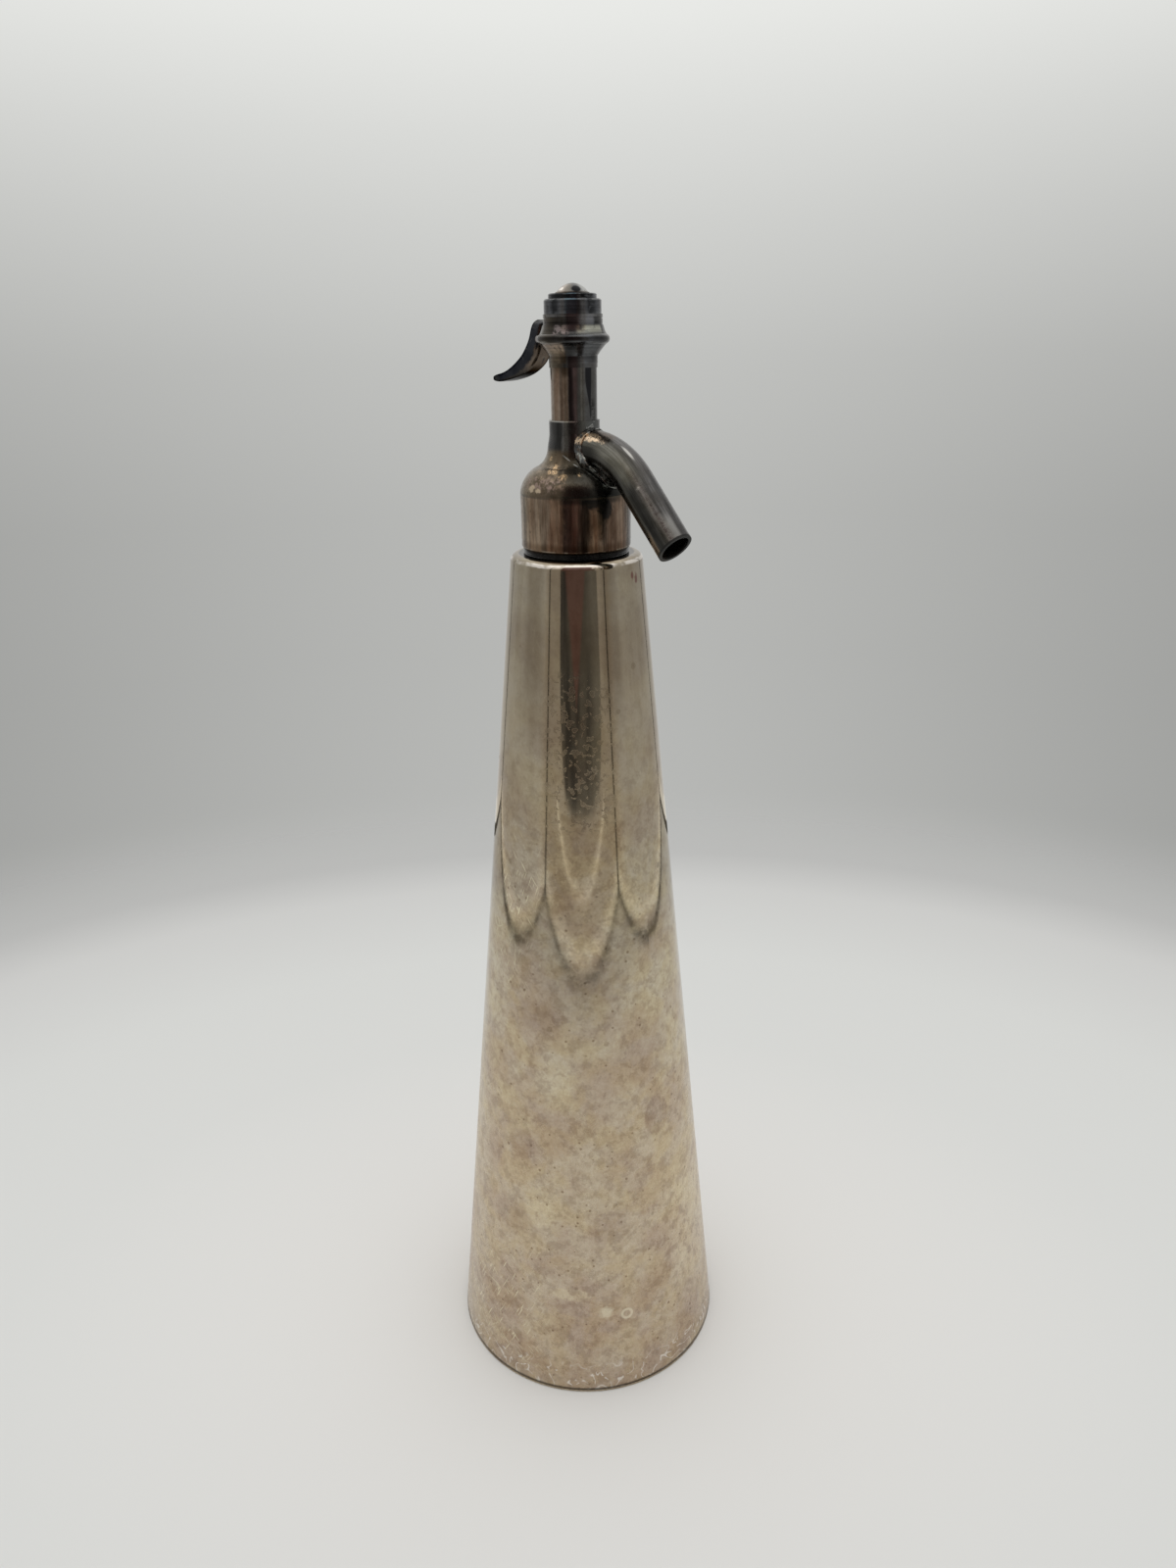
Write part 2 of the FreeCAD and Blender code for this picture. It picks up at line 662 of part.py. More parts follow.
def head_body():
    """Head: dome and socket outside; skirt, dip-tube bore, valve chamber and barrel socket inside."""
    skirt_outer = collar_bore - d.push_fit
    skirt_foot = lip_foot + d.skirt_gap
    socket_bore = d.barrel_radius - d.thread_depth + d.push_fit / 2
    tube_socket = d.tube_radius + d.loose_fit
    body = turned("head_body", [
        *dome_outline(0, 0),
        (socket_bore, socket_top),
        (socket_bore, barrel_foot),
        (d.chamber_radius, barrel_foot),
        (d.chamber_radius, seat_foot),
        (d.tube_bore, seat_foot),
        (d.tube_bore, tube_top),
        (tube_socket, tube_top),
        (tube_socket, head_under),
        (skirt_outer - d.skirt_wall, head_under),
        (skirt_outer - d.skirt_wall, skirt_foot),
        (skirt_outer, skirt_foot),
        (skirt_outer, collar_top),
    ])
    port = new_sketch(body, "spout_port_hole", "YZ_Plane")
    draw_circle(port, 0, spout_centre, d.spout_port)
    pocket(body, port, through, backwards=True)
    return body


def valve_seat():
    """Screwed-in seat with a raised lip for the rubber washer."""
    lip_outer = d.tube_bore + d.lip_land
    return turned("valve_seat", [
        (d.tube_bore, seat_foot),
        (d.chamber_radius - d.push_fit, seat_foot),
        (d.chamber_radius - d.push_fit, seat_top - d.seat_lip),
        (lip_outer + d.lip_flare, seat_top - d.seat_lip),
        (lip_outer, seat_top),
        (d.tube_bore, seat_top),
    ])


def bent_rod(label, radius, level):
    """A solid rod along the spout's centre line, started at a level and carried on a radius past the mouth."""
    body = new_body(label)
    bulge = d.spout_bend * (1 - cosine(d.spout_angle / 2))
    path = new_sketch(body, label + "_path", "XZ_Plane")
    draw(path, [
        (0, level),
        (d.spout_lead, level),
        (bend_reach, level - bend_drop, -bulge),
        (
            mouth_reach + d.spout_radius * cosine(d.spout_angle),
            level - mouth_drop - d.spout_radius * sine(d.spout_angle),
        ),
    ], closed=False)
    section = new_sketch(body, label + "_section", "YZ_Plane")
    draw_circle(section, 0, level, radius)
    pipe = body.newObject("PartDesign::AdditivePipe", label + "_pipe")
    pipe.Profile = section
    pipe.Spine = (path, ["Edge1", "Edge2", "Edge3"])
    return body


def mouth_trim():
    """A block that stands beyond the spout's mouth, a little turned, to cut the tube off with."""
    block = doc.addObject("Part::Box", "mouth_trim")
    half = 2 * d.spout_radius
    lean = d.spout_angle - d.mouth_tilt
    bind(block, "Length", half)
    bind(block, "Width", 2 * half)
    bind(block, "Height", 2 * half)
    block.Placement = FreeCAD.Placement(FreeCAD.Vector(), FreeCAD.Rotation(FreeCAD.Vector(0, 1, 0), 1))
    bind(block, "Placement.Rotation.Angle", lean)
    bind(block, "Placement.Base.x", mouth_reach - half * sine(lean))
    bind(block, "Placement.Base.y", -half)
    bind(block, "Placement.Base.z", spout_centre - mouth_drop - half * cosine(lean))
    return block


def spout_and_solder():
    """Bent tube coped against the head, and the solder round its root, heaped up under it."""
    head_form = dome_form("head_form", 0, 0)
    bead_form = dome_form("bead_form", d.bead_height, d.bead_lift)
    bead_radius = d.spout_radius + d.bead_width
    outer = bent_rod("spout_outer", d.spout_radius, spout_centre)
    bore = bent_rod("spout_bore", d.spout_radius - d.spout_wall, spout_centre)
    rim = bent_rod("bead_rim", bead_radius, spout_centre)
    heap = bent_rod("bead_heap", bead_radius, spout_centre - d.bead_sag)
    tube = boolean("Cut", "spout_tube", outer, bore)
    coped = boolean("Cut", "coped_tube", tube, head_form)
    spout = boolean("Cut", "spout", coped, mouth_trim())
    bead = boolean("Fuse", "bead_rod", rim, heap)
    bead_near_head = boolean("Common", "bead_near_head", bead, bead_form)
    bead_off_head = boolean("Cut", "bead_off_head", bead_near_head, head_form)
    solder = boolean("Cut", "spout_solder", bead_off_head, outer)
    return [spout, solder]


def barrel():
    """Barrel tube: thread into the socket, stem guide, packing box and spigot for the housing."""
    box = d.barrel_radius - d.barrel_wall
    thread = d.barrel_radius - d.thread_depth
    guide = d.stem_radius + d.running_fit
    relief = box - d.guide_relief
    return turned("barrel", [
        (relief, barrel_foot),
        (thread, barrel_foot),
        (thread, socket_top),
        (d.barrel_radius, socket_top),
        (d.barrel_radius, barrel_shoulder),
        (spigot_radius, barrel_shoulder),
        (spigot_radius, barrel_top),
        (box, barrel_top),
        (box, packing_foot),
        (guide, packing_foot),
        (guide, guide_foot),
        (relief, guide_foot),
    ])


def plunger_packing():
    outer = d.barrel_radius - d.barrel_wall - d.push_fit / 2
    return ring("plunger_packing", d.stem_radius + d.running_fit, outer, packing_foot, gland_foot)


def packing_gland():
    outer = d.barrel_radius - d.barrel_wall - d.push_fit / 2
    return ring("packing_gland", d.stem_radius + d.gland_play, outer, gland_foot, gland_foot + d.gland_height)


def lock_ring():
    return ring("lock_ring", spigot_radius + d.push_fit / 2, d.lock_radius, barrel_shoulder, housing_foot)


def lever_housing():
    """Housing: upright end, flare, rounded bulge and banded top outside; slotted for the lever."""
    bulge = housing_foot + d.bulge_level
    edge_radius = d.bulge_radius - d.bulge_round
    band_foot = housing_top - d.ring_height
    bore = spigot_radius + d.push_fit / 2
    line_high = housing_top - d.ring_line
    line_low = line_high - d.ring_groove
    body = turned("lever_housing", [
        (bore, housing_foot),
        (d.sleeve_end_radius, housing_foot),
        (d.sleeve_end_radius, housing_foot + d.sleeve_end_height),
        (edge_radius, bulge - d.bulge_edge, -d.flare_hollow),
        (edge_radius, bulge + d.bulge_edge, d.bulge_round),
        (d.housing_radius + d.ring_groove, band_foot, -d.crown_hollow),
        (d.housing_radius, band_foot),
        (d.housing_radius, line_low),
        (d.housing_radius - d.ring_groove, line_low),
        (d.housing_radius - d.ring_groove, line_high),
        (d.housing_radius, line_high),
        (d.housing_radius, housing_top),
        (d.cap_bore, housing_top),
        (d.cap_bore, cap_bore_floor),
        (d.cage_radius, cap_bore_floor),
        (d.cage_radius, barrel_top),
        (bore, barrel_top),
    ])
    half = d.stem_half + d.slot_play
    slot = new_sketch(body, "lever_slot", "YZ_Plane")
    draw(slot, [
        (-half, pivot_level - d.slot_below),
        (half, pivot_level - d.slot_below),
        (half, pivot_level + d.slot_above),
        (-half, pivot_level + d.slot_above),
    ])
    pocket(body, slot, through)
    hole = new_sketch(body, "pin_hole", "XZ_Plane")
    draw_circle(hole, -d.pivot_reach, pivot_level, d.pin_radius + d.pin_press)
    pocket(body, hole, through, midplane=True)
    return body


def lever_pin():
    pin = doc.addObject("Part::Cylinder", "lever_pin")
    pin.Label = "lever_pin"
    bind(pin, "Radius", d.pin_radius)
    bind(pin, "Height", 2 * d.pin_half)
    pin.Placement = FreeCAD.Placement(FreeCAD.Vector(), FreeCAD.Rotation(FreeCAD.Vector(1, 0, 0), 90))
    bind(pin, "Placement.Base.x", -d.pivot_reach)
    bind(pin, "Placement.Base.y", d.pin_half)
    bind(pin, "Placement.Base.z", pivot_level)
    return pin


# The horn's centre line is a quarter of an ellipse, from its top end (0 degrees) to its tip (90).
# Each section across it: place on the ellipse in degrees, then shares of the full thickness outside
# and inside the line, and a share of the full width.
HORN_SECTIONS = [
    (0.5, 0.20, 0.20, 0.42),
    (5, 0.43, 0.40, 0.78),
    (14, 0.48, 0.48, 0.92),
    (27, 0.44, 0.68, 1.00),
    (40, 0.40, 0.68, 1.00),
    (54, 0.33, 0.48, 0.98),
    (68, 0.25, 0.30, 0.88),
    (80, 0.24, 0.21, 0.68),
    (88, 0.16, 0.11, 0.40),
]


def horn_section(body, index, place, outside_share, inside_share, width_share):
    """A rounded oblong, square to the horn's centre line."""
    along, across = math.cos(math.radians(place)), math.sin(math.radians(place))
    sketch = new_sketch(body, f"horn_section_{index}", "YZ_Plane")
    sketch.AttachmentOffset = FreeCAD.Placement(
        FreeCAD.Vector(0, 0, 0), FreeCAD.Rotation(FreeCAD.Vector(1, 0, 0), -45))
    reach = d.horn_start + d.horn_reach * (1 - along)
    bind(sketch, "AttachmentOffset.Base.y", pivot_level + d.horn_rise - d.horn_drop * across)
    bind(sketch, "AttachmentOffset.Base.z", -reach)
    lean = d.horn_drop * along / (d.horn_reach * across)
    sketch.setExpression("AttachmentOffset.Rotation.Angle", f"-atan({lean.text})")
    outside = d.horn_thickness * outside_share
    inside = d.horn_thickness * inside_share
    half_width = d.horn_width * (width_share / 2)
    corner = (outside + inside) / 2 * d.horn_softness
    side = half_width - corner
    rise = quarter_rise(corner)
    draw(sketch, [
        (-side, -inside, rise),
        (side, -inside),
        (half_width, corner - inside, rise),
        (half_width, outside - corner),
        (side, outside, rise),
        (-side, outside),
        (-half_width, outside - corner, rise),
        (-half_width, corner - inside),
    ])
    return sketch


def lever():
    """Horn-shaped thumb lever with a stem through the slot, a boss on the pin and a toe."""
    body = new_body("lever")
    sections = []
    for index, section in enumerate(HORN_SECTIONS, start=1):
        sections.append(horn_section(body, index, *section))
    doc.recompute()
    horn = body.newObject("PartDesign::AdditiveLoft", "horn")
    horn.Profile = sections[0]
    horn.Sections = sections[1:]
    toe_centre = d.toe_arm - d.pivot_reach
    neck = root(d.toe_radius * d.toe_radius - d.toe_neck * d.toe_neck)
    stem = new_sketch(body, "stem", "XZ_Plane")
    draw(stem, [
        (-d.stem_reach, pivot_level - d.stem_height),
        (-d.pivot_reach, pivot_level - d.stem_height),
        (-d.pivot_reach, pivot_level + d.stem_height),
        (-d.stem_reach, pivot_level + d.stem_height),
    ])
    pad(body, stem, 2 * d.stem_half)
    boss = new_sketch(body, "boss", "XZ_Plane")
    draw_circle(boss, -d.pivot_reach, pivot_level, d.boss_radius)
    pad(body, boss, 2 * d.stem_half)
    arm = new_sketch(body, "arm", "XZ_Plane")
    draw(arm, [
        (-d.pivot_reach, pivot_level - d.toe_radius),
        (toe_centre - neck, pivot_level - d.toe_neck),
        (toe_centre - neck, pivot_level + d.toe_neck, d.toe_radius + neck),
        (-d.pivot_reach, pivot_level + d.toe_radius),
    ])
    pad(body, arm, 2 * d.toe_half)
    hole = new_sketch(body, "pivot_hole", "XZ_Plane")
    draw_circle(hole, -d.pivot_reach, pivot_level, d.pin_radius + d.pin_play)
    pocket(body, hole, through, midplane=True)
    return body


def valve_plunger():
    """Plunger: a foot that holds the valve washer, a stem, and a crosshead with the toe's mortise."""
    washer_top = seat_top + d.disc_seal_height
    foot_bottom = seat_top + d.disc_seal_proud
    foot_top = foot_bottom + d.foot_height
    body = turned("valve_plunger", [
        (0, washer_top),
        (d.disc_seal_radius + d.push_fit / 2, washer_top),
        (d.disc_seal_radius + d.push_fit / 2, foot_bottom),
        (d.foot_radius, foot_bottom),
        (d.foot_radius, foot_top),
        (d.stem_radius, foot_top + d.foot_taper),
        (d.stem_radius, head_foot),
        (d.head_radius, head_foot),
        (d.head_radius, head_top),
        (d.pilot_radius, head_top),
        (d.pilot_radius, head_top + d.pilot_height),
        (0, head_top + d.pilot_height),
    ])
    toe_centre = d.toe_arm - d.pivot_reach
    roof = pivot_level + d.toe_radius + d.toe_gap
    mortise = new_sketch(body, "mortise", "XZ_Plane")
    draw(mortise, [
        (-d.bulge_radius, pivot_level - d.mortise_drop),
        (toe_centre + d.mortise_back, pivot_level - d.mortise_drop),
        (toe_centre + d.mortise_back, roof),
        (-d.bulge_radius, roof),
    ])
    pocket(body, mortise, 2 * d.mortise_half, midplane=True)
    return body


def valve_washer():
    return turned("valve_washer", [
        (0, seat_top),
        (d.disc_seal_radius, seat_top),
        (d.disc_seal_radius, seat_top + d.disc_seal_height),
        (0, seat_top + d.disc_seal_height),
    ])


WIRE_SIDES = 6


def return_spring():
    """Coil spring between the crosshead and the cap's plug, of wire with flat sides."""
    body = new_body("return_spring")
    wire = new_sketch(body, "wire", "XZ_Plane")
    first = head_top + d.wire_radius + d.wire_gap
    last = spring_top - d.wire_radius - d.wire_gap
    corners = []
    for turn in range(0, 360, 360 // WIRE_SIDES):
        across = d.spring_radius + d.wire_radius * math.cos(math.radians(turn))
        corners.append((across, first + d.wire_radius * math.sin(math.radians(turn))))
    draw(wire, corners)
    coil = body.newObject("PartDesign::AdditiveHelix", "coil")
    coil.Profile = wire
    coil.ReferenceAxis = (wire, ["V_Axis"])
    coil.Mode = "height-turns-angle"
    bind(coil, "Height", last - first)
    bind(coil, "Turns", d.spring_turns)
    return body


def cap_seal():
    inner = d.cap_bore - d.cap_wall + d.push_fit
    return ring("cap_seal", inner, d.cap_bore - d.push_fit, cap_bore_floor, cap_bore_floor + d.cap_seal_height)


def cap():
    """Screw cap: a spigot in the housing and a bevelled band above it."""
    spigot = d.cap_bore - d.push_fit
    return turned("cap", [
        (spigot - d.cap_wall, cap_bore_floor + d.cap_seal_height),
        (spigot, cap_bore_floor + d.cap_seal_height),
        (spigot, housing_top),
        (d.cap_radius, housing_top),
        (d.cap_radius, cap_top - d.cap_chamfer),
        (d.cap_radius - d.cap_chamfer, cap_top),
        (spigot - d.cap_wall, cap_top),
    ])


def cap_disc():
    """Disc on the cap, with a plug inside it that the spring pushes against."""
    plug = d.cap_bore - d.push_fit - d.cap_wall - d.push_fit
    bore = d.shank_radius + d.pin_press
    edge = d.disc_bevel
    return turned("cap_disc", [
        (0, spring_top),
        (plug, spring_top),
        (plug, cap_top),
        (d.disc_radius, cap_top),
        (d.disc_radius, disc_top - edge),
        (d.disc_radius - edge, disc_top),
        (bore, disc_top),
        (bore, disc_top - d.shank_depth),
        (0, disc_top - d.shank_depth),
    ])


def cap_button():
    """Bright domed button with a flat rim and a shank."""
    dome = d.button_radius - d.button_land
    return turned("cap_button", [
        (0, disc_top - d.shank_depth),
        (d.shank_radius, disc_top - d.shank_depth),
        (d.shank_radius, disc_top),
        (d.button_radius, disc_top),
        (d.button_radius, disc_top + d.button_rim),
        (dome, disc_top + d.button_rim),
        (0, disc_top + d.button_rim + d.button_rise, cap_rise(dome, d.button_rise)),
    ])


pieces = [
    base_plate(),
    bottle_pad(),
    outer_sleeve(),
    glass_bottle(),
    sleeve_bush(),
    sleeve_washer(),
    neck_collar(),
    split_ring("split_ring_right", 0),
    split_ring("split_ring_left", 180),
    neck_gasket(),
    tube_ferrule(),
    tube_seal(),
    dip_tube(),
    head_body(),
    *spout_and_solder(),
    valve_seat(),
    barrel(),
    plunger_packing(),
    packing_gland(),
    lock_ring(),
    lever_housing(),
    lever_pin(),
    lever(),
    valve_plunger(),
    valve_washer(),
    return_spring(),
    cap_seal(),
    cap(),
    cap_disc(),
    cap_button(),
]
doc.recompute()

for thing in doc.Objects:
    if "Invalid" in thing.State or "Error" in thing.State:
        raise RuntimeError(f"{thing.Label} did not compute: {thing.State}")
os.makedirs("parts", exist_ok=True)
for piece in pieces:
    if piece.Shape.isNull() or not piece.Shape.isValid() or len(piece.Shape.Solids) != 1:
        raise RuntimeError(f"{piece.Label} is not one sound solid")
    piece.Shape.exportStep(f"parts/{piece.Label}.step")
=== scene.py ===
import json
import math

import bmesh
import bpy
from mathutils import Matrix, Vector, noise

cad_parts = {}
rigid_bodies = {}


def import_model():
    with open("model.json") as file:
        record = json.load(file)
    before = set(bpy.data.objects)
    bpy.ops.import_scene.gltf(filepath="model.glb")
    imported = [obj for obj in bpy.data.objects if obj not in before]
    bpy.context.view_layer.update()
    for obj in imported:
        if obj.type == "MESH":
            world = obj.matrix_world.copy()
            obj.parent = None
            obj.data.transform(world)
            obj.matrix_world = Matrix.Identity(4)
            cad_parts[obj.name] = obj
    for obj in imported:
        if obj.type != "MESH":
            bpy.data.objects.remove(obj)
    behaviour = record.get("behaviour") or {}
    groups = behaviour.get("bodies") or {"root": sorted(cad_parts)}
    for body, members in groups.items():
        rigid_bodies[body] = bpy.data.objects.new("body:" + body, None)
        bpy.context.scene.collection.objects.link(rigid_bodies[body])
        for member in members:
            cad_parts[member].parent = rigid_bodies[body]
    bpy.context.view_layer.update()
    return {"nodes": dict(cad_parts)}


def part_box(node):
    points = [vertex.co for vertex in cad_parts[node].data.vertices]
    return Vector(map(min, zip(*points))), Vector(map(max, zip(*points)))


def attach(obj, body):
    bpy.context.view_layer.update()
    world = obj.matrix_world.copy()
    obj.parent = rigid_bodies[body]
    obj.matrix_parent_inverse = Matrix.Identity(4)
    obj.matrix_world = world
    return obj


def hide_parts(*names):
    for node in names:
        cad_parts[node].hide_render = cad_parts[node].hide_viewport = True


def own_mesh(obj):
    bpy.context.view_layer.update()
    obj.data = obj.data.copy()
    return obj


for left_over in list(bpy.data.objects):
    bpy.data.objects.remove(left_over)

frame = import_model()
nodes = frame["nodes"]

MM = 0.001
TURNED_TO_CAMERA = 47.4  # degrees round from the front, where the light tent opens


# --- wiring -------------------------------------------------------------------


class Wiring:
    """A node tree being wired. Each method adds a node and gives back what it puts out."""

    def __init__(self, tree):
        self.tree = tree

    def join(self, socket, value):
        if isinstance(value, bpy.types.NodeSocket):
            self.tree.links.new(value, socket)
        else:
            socket.default_value = value

    def dye(self, socket, colour):
        """Gives a socket its colour, either plain red, green and blue or what a node puts out."""
        self.join(socket, colour if isinstance(colour, bpy.types.NodeSocket) else (*colour, 1.0))

    def add(self, kind, inputs=None, **settings):
        node = self.tree.nodes.new(kind)
        for name, setting in settings.items():
            setattr(node, name, setting)
        for name, value in (inputs or {}).items():
            self.join(node.inputs[name], value)
        return node

    def use(self, group, **values):
        """A node group: its only output, or all of them."""
        node = self.add("ShaderNodeGroup")
        node.node_tree = group
        for name, value in values.items():
            self.join(node.inputs[name], value)
        return node.outputs[0] if len(node.outputs) == 1 else node.outputs

    # numbers

    def maths(self, operation, *values):
        node = self.add("ShaderNodeMath", operation=operation)
        for socket, value in zip(node.inputs, values):
            self.join(socket, value)
        return node.outputs[0]

    def plus(self, first, second):
        return self.maths("ADD", first, second)

    def minus(self, first, second):
        return self.maths("SUBTRACT", first, second)

    def times(self, first, second):
        return self.maths("MULTIPLY", first, second)

    def over(self, first, second):
        return self.maths("DIVIDE", first, second)

    def apart(self, first, second):
        """How far two numbers are from each other."""
        return self.maths("ABSOLUTE", self.minus(first, second))

    def rest(self, share):
        """What a share leaves of the whole."""
        return self.minus(1.0, share)

    def ease(self, value, low, high):
        """0 up to low, 1 from high on, and a smooth rise between them. With low above high it falls."""
        node = self.add("ShaderNodeMapRange", interpolation_type="SMOOTHSTEP")
        for socket, setting in zip(node.inputs, (value, low, high, 0.0, 1.0)):
            self.join(socket, setting)
        return node.outputs[0]

    def between(self, first, second, mask):
        """A number that goes from the first value to the second with the mask."""
        node = self.add("ShaderNodeMix", data_type="FLOAT")
        for socket, value in zip((node.inputs[0], node.inputs[2], node.inputs[3]), (mask, first, second)):
            self.join(socket, value)
        return node.outputs[0]

    def both(self, first, *others):
        """Where all the masks are."""
        whole = first
        for mask in others:
            whole = self.times(whole, mask)
        return whole

    def either(self, first, *others):
        """Where any of the masks is."""
        whole = first
        for mask in others:
            whole = self.maths("MAXIMUM", whole, mask)
        return whole

    # places

    def vector(self, operation, first, second):
        node = self.add("ShaderNodeVectorMath", operation=operation)
        self.join(node.inputs[0], first)
        self.join(node.inputs[1], second)
        return node.outputs["Vector"]

    def length(self, vector):
        node = self.add("ShaderNodeVectorMath", operation="LENGTH")
        self.join(node.inputs[0], vector)
        return node.outputs["Value"]

    def along(self, place):
        """The three numbers of a place."""
        return self.add("ShaderNodeSeparateXYZ", {0: place}).outputs

    def point(self, x, y, z):
        """A place put together from three numbers."""
        return self.add("ShaderNodeCombineXYZ", {"X": x, "Y": y, "Z": z}).outputs[0]

    def sized(self, place, size):
        """A place counted in sizes, so that what is one unit wide there comes out one size wide."""
        return self.vector("DIVIDE", place, self.point(size, size, size))

    def turn(self, place):
        """The degrees round the upright axis, from -180 to 180. 0 is where the spout points."""
        place = self.along(place)
        return self.maths("DEGREES", self.maths("ARCTAN2", place[1], place[0]))

    def grain(self, place, size, detail=3.0, roughness=0.55, distortion=0.0):
        """Noise whose lumps are about as wide as size."""
        node = self.add("ShaderNodeTexNoise", {"Vector": place, "Scale": 1.0 / size, "Detail": detail})
        self.join(node.inputs["Roughness"], roughness)
        self.join(node.inputs["Distortion"], distortion)
        return node.outputs[0]

    # colours

    def lay(self, under, over, *masks):
        """One colour laid over another where all the masks are."""
        node = self.add("ShaderNodeMix", data_type="RGBA")
        self.join(node.inputs[0], self.both(*masks))
        self.dye(node.inputs[6], under)
        self.dye(node.inputs[7], over)
        return node.outputs[2]

    def tint(self, colour, tone, *masks):
        """A colour multiplied by a tone where all the masks are."""
        node = self.add("ShaderNodeMix", data_type="RGBA", blend_type="MULTIPLY")
        self.join(node.inputs[0], self.both(*masks))
        self.dye(node.inputs[6], colour)
        self.dye(node.inputs[7], tone)
        return node.outputs[2]

    def ramp(self, value, stops):
        """Colours along a value from 0 to 1, each at its own place."""
        node = self.add("ShaderNodeValToRGB", {"Fac": value})
        elements = node.color_ramp.elements
        while len(elements) < len(stops):
            elements.new(1.0)
        for element, (place, colour) in zip(elements, stops):
            element.position = place
            element.color = (*colour, 1.0)
        return node.outputs[0]


def new_group(name, inputs, outputs, places=()):
    """A shader node group, its wiring, what comes in and what goes out: numbers, and after them places."""
    group = bpy.data.node_groups.new(name, "ShaderNodeTree")
    for socket, default in inputs.items():
        kind = "NodeSocketVector" if isinstance(default, tuple) else "NodeSocketFloat"
        made = group.interface.new_socket(socket, in_out="INPUT", socket_type=kind)
        made.default_value = default
    for socket in outputs:
        group.interface.new_socket(socket, in_out="OUTPUT", socket_type="NodeSocketFloat")
    for socket in places:
        group.interface.new_socket(socket, in_out="OUTPUT", socket_type="NodeSocketVector")
    wiring = Wiring(group)
    return group, wiring, wiring.add("NodeGroupInput").outputs, wiring.add("NodeGroupOutput").inputs


NO_PLACE = (0.0, 0.0, 0.0)


def in_patches(w, where, share):
    """Keeps about that share of a surface, in patches. Where is the noise that they follow."""
    reach = w.times(share, 0.4)
    return w.ease(where, w.minus(0.66, reach), w.minus(0.7, reach))


def tarnish_clouds():
    """Soft-edged patches, as tarnish spreads over plate. Cloud is the patches, Mottle the finer blotches."""
    group, w, given, out = new_group(
        "tarnish_clouds", {"Place": NO_PLACE, "Size": 20.0, "Shift": 0.0}, ["Cloud", "Mottle"]
    )
    shifted = w.vector("ADD", given["Place"], w.point(given["Shift"], 0.0, given["Shift"]))
    sized = w.sized(shifted, given["Size"])
    broad = w.grain(sized, 1.0, 5.0, 0.52, 0.35)
    fine = w.grain(sized, 0.22, 5.0, 0.6, 0.6)
    w.join(out["Cloud"], w.ease(broad, 0.4, 0.62))
    w.join(out["Mottle"], w.ease(fine, 0.36, 0.66))
    return group


def fine_speckle():
    """Grains of tarnish close together."""
    group, w, given, out = new_group("fine_speckle", {"Place": NO_PLACE, "Size": 0.7}, ["Speckle"])
    sized = w.sized(given["Place"], given["Size"])
    w.join(out["Speckle"], w.ease(w.grain(sized, 1.0, 2.5, 0.6), 0.38, 0.64))
    return group


def hair_scratches():
    """Thin wandering scratches, in patches. Share is how much of the surface has them."""
    group, w, given, out = new_group(
        "hair_scratches", {"Place": NO_PLACE, "Length": 12.0, "Width": 0.012, "Share": 0.3}, ["Scratch"]
    )
    sized = w.sized(given["Place"], given["Length"])
    line = w.apart(w.grain(sized, 1.0, 1.0, 0.4, 0.8), 0.5)
    thin = w.rest(w.ease(line, w.times(given["Width"], 0.35), given["Width"]))
    where = w.grain(w.vector("ADD", sized, (7.3, 2.1, 4.4)), 0.35, 2.0)
    w.join(out["Scratch"], w.both(thin, in_patches(w, where, given["Share"])))
    return group


def corrosion_pits():
    """Small round pits of different sizes, each with a ring round it. Share is how many places have one."""
    group, w, given, out = new_group(
        "corrosion_pits", {"Place": NO_PLACE, "Size": 3.0, "Share": 0.3}, ["Pit", "Ring"]
    )
    sized = w.sized(given["Place"], given["Size"])
    cells = w.add("ShaderNodeTexVoronoi", {"Vector": sized, "Scale": 1.0}, feature="F1")
    chance = w.along(cells.outputs["Color"])
    kept = w.maths("LESS_THAN", chance[0], given["Share"])
    radius = w.maths("MULTIPLY_ADD", chance[1], 0.2, 0.1)
    distance = cells.outputs["Distance"]
    hollow = w.rest(w.ease(distance, w.times(radius, 0.45), w.times(radius, 0.7)))
    rim = w.rest(w.ease(w.apart(distance, radius), 0.01, 0.05))
    w.join(out["Pit"], w.both(hollow, kept))
    w.join(out["Ring"], w.both(rim, kept))
    return group


def turned_lines():
    """The fine rings that a lathe leaves, as a height over the axis."""
    group, w, given, out = new_group("turned_lines", {"Place": NO_PLACE, "Pitch": 0.5}, ["Line"])
    level = w.over(w.along(given["Place"])[2], given["Pitch"])
    slow = w.grain(given["Place"], 9.0, 1.0)
    place = w.point(w.times(slow, 1.2), 0.0, level)
    w.join(out["Line"], w.ease(w.grain(place, 1.0, 2.0, 0.6), 0.34, 0.66))
    return group


def drawn_streaks():
    """Long streaks up and down, as polishing leaves them."""
    group, w, given, out = new_group(
        "drawn_streaks", {"Place": NO_PLACE, "Width": 2.0, "Stretch": 0.04}, ["Streak"]
    )
    flat = w.vector("MULTIPLY", given["Place"], w.point(1.0, 1.0, given["Stretch"]))
    sized = w.sized(flat, given["Width"])
    w.join(out["Streak"], w.ease(w.grain(sized, 1.0, 3.0, 0.5), 0.36, 0.64))
    return group


